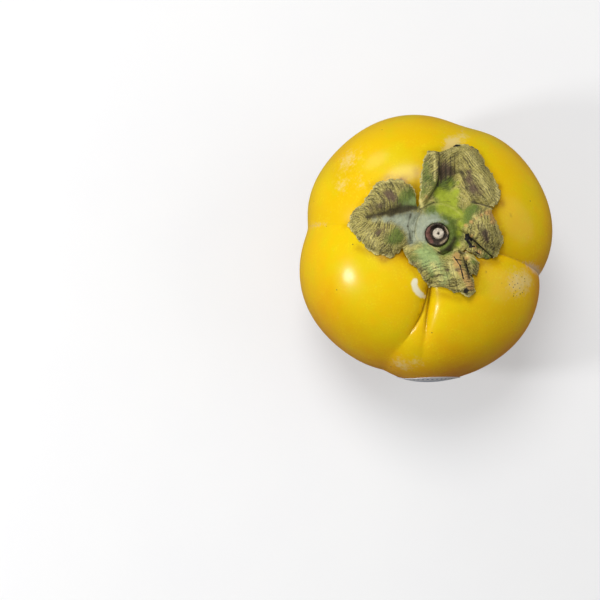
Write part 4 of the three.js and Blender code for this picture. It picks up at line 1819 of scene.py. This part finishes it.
@dataclass(frozen=True)
class SoftBox:
    """An oval studio light that looks at the fruit; angles in degrees, sizes in metres."""

    name: str
    azimuth: float
    elevation: float
    distance: float
    width: float
    height: float
    power: float
    colour: Colour = (1.0, 1.0, 1.0)

    def build(self, target: Vector) -> None:
        """Makes the light.

        Args:
            target: The point that the light looks at.
        """
        a, e = self.azimuth * DEG, self.elevation * DEG
        out = Vector((math.cos(a) * math.cos(e), math.sin(a) * math.cos(e), math.sin(e)))
        data = bpy.data.lights.new(self.name, "AREA")
        data.shape = "ELLIPSE"
        data.size = self.width
        data.size_y = self.height
        data.energy = self.power
        data.color = self.colour
        lamp = bpy.data.objects.new(self.name, data)
        lamp.location = target + out * self.distance
        lamp.rotation_euler = (-out).to_track_quat("-Z", "Y").to_euler()
        lamp.visible_camera = False
        bpy.context.scene.collection.objects.link(lamp)


@dataclass(frozen=True)
class Studio:
    """Floor, lights and camera.

    The sky lights the fruit, and dimming is the share of its strength that gloss leaves out.
    The backdrop is what shows behind the fruit. The camera's distance from the fruit's middle
    and its two shifts are millimetres; the floor's radius is metres.
    """

    floor_radius: float = 6.0
    sky: float = 0.27
    backdrop: float = 0.95
    dimming: float = 0.7
    elevation: float = 84.5
    distance: float = 430.0
    aside: float = 37.5
    above: float = 15.2
    lens: float = 85.3
    sensor: float = 36.0
    boxes: tuple[SoftBox, ...] = (
        SoftBox("key box", 112.0, 62.0, 1.0, 0.50, 0.50, 5.2),
        SoftBox("window", -169.0, 33.0, 0.54, 0.085, 0.125, 1.3),
        SoftBox("left rear box", 122.0, 24.0, 0.64, 0.22, 0.22, 0.45),
        SoftBox("right fill", 0.0, 28.0, 1.1, 1.0, 1.0, 2.6),
    )

    def build_floor(self, material: bpy.types.Material) -> bpy.types.Object:
        """Makes the floor: one flat round face on the level that the fruit stands on.

        Args:
            material: The floor's finish.

        Returns:
            The floor.
        """
        turn = np.linspace(0.0, math.tau, 96, endpoint=False)
        rim = np.stack([np.cos(turn), np.sin(turn), 0.0 * turn], -1) * self.floor_radius
        mesh = bpy.data.meshes.new("studio_floor")
        mesh.from_pydata(rim.tolist(), [], [tuple(range(len(turn)))])
        mesh.materials.append(material)
        floor = bpy.data.objects.new("studio_floor", mesh)
        bpy.context.scene.collection.objects.link(floor)
        return floor

    def build_light(self, target: Vector) -> None:
        """Makes the soft boxes and a white surrounding.

        Args:
            target: The point that the lights look at.
        """
        for box in self.boxes:
            box.build(target)
        world = bpy.data.worlds.new("studio")
        world.use_nodes = True
        n = Nodes(world.node_tree)
        path = n.add("LightPath")
        direct = path.outputs["Is Camera Ray"]
        sky = n.minus(self.sky, n.times(path.outputs["Is Glossy Ray"], self.sky * self.dimming))
        light = n.add("Background", {"Color": (1.0, 1.0, 1.0), "Strength": sky})
        seen = n.add("Background", {"Color": (1.0, 1.0, 1.0), "Strength": self.backdrop})
        either = n.add("MixShader", {0: direct, 1: light.outputs[0], 2: seen.outputs[0]})
        n.add("OutputWorld", {"Surface": either.outputs[0]})
        bpy.context.scene.world = world

    def build_camera(self, target: Vector) -> None:
        """Makes the camera: above the fruit, which stands right of and above the frame's middle.

        Args:
            target: The middle of the fruit.
        """
        e = self.elevation * DEG
        ahead = Vector((0.0, math.cos(e), -math.sin(e)))
        up = Vector((0.0, math.sin(e), math.cos(e)))
        right = Vector((1.0, 0.0, 0.0))
        data = bpy.data.cameras.new("camera")
        data.lens = self.lens
        data.sensor_width = self.sensor
        data.clip_start = 0.01
        data.clip_end = 50.0
        camera = bpy.data.objects.new("camera", data)
        back = ahead * self.distance + right * self.aside + up * self.above
        camera.location = target - back * MM
        camera.rotation_mode = "QUATERNION"
        camera.rotation_quaternion = ahead.to_track_quat("-Z", "Y")
        bpy.context.scene.collection.objects.link(camera)
        bpy.context.scene.camera = camera
        bpy.context.scene.view_settings.view_transform = "Standard"


def stalk_foot() -> Array:
    """The place in the frame, in millimetres, that the fruit's shape is measured from.

    Returns:
        The middle of the stub's box in plan, on the level that the fruit stands on.
    """
    low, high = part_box("stem_stub")
    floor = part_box("fruit")[0].z
    return np.array([(low.x + high.x) / 2, (low.y + high.y) / 2, floor]) / MM


def settle(piece: bpy.types.Object, node: str) -> None:
    """Rides a finished piece on the body, in place of a CAD node, and reports it.

    Args:
        piece: The finished piece.
        node: The CAD node that it stands for.
    """
    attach(piece, "root")
    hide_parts(node)
    log.info("%s stands for %s: %d faces", piece.name, node, len(piece.data.polygons))


def main() -> None:
    """Builds the pieces, the studio and the camera."""
    logging.basicConfig(level=logging.INFO, format="%(message)s")
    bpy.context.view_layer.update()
    effects = Effects()
    shape = FruitShape()
    origin = stalk_foot()
    calyx = CalyxFinish().build(effects)
    paint = CalyxPaint()
    settle(Fruit(shape, origin).build(SkinFinish().build(effects)), "fruit")
    settle(Hub().build(shape, origin, paint, calyx), "calyx_disc")
    for sepal in SEPALS:
        settle(sepal.build(shape, origin, paint, calyx), sepal.node)
    settle(Stub().build(shape, origin, BarkFinish().build(effects)), "stem_stub")
    settle(Label().build(shape, origin, LabelFinish().build(effects)), "fruit_label")
    studio = Studio()
    studio.build_floor(FloorFinish().build(effects))
    middle = Vector((0.0, 0.0, shape.widest_z * MM))
    studio.build_light(middle)
    studio.build_camera(middle)


if __name__ == "__main__":
    main()
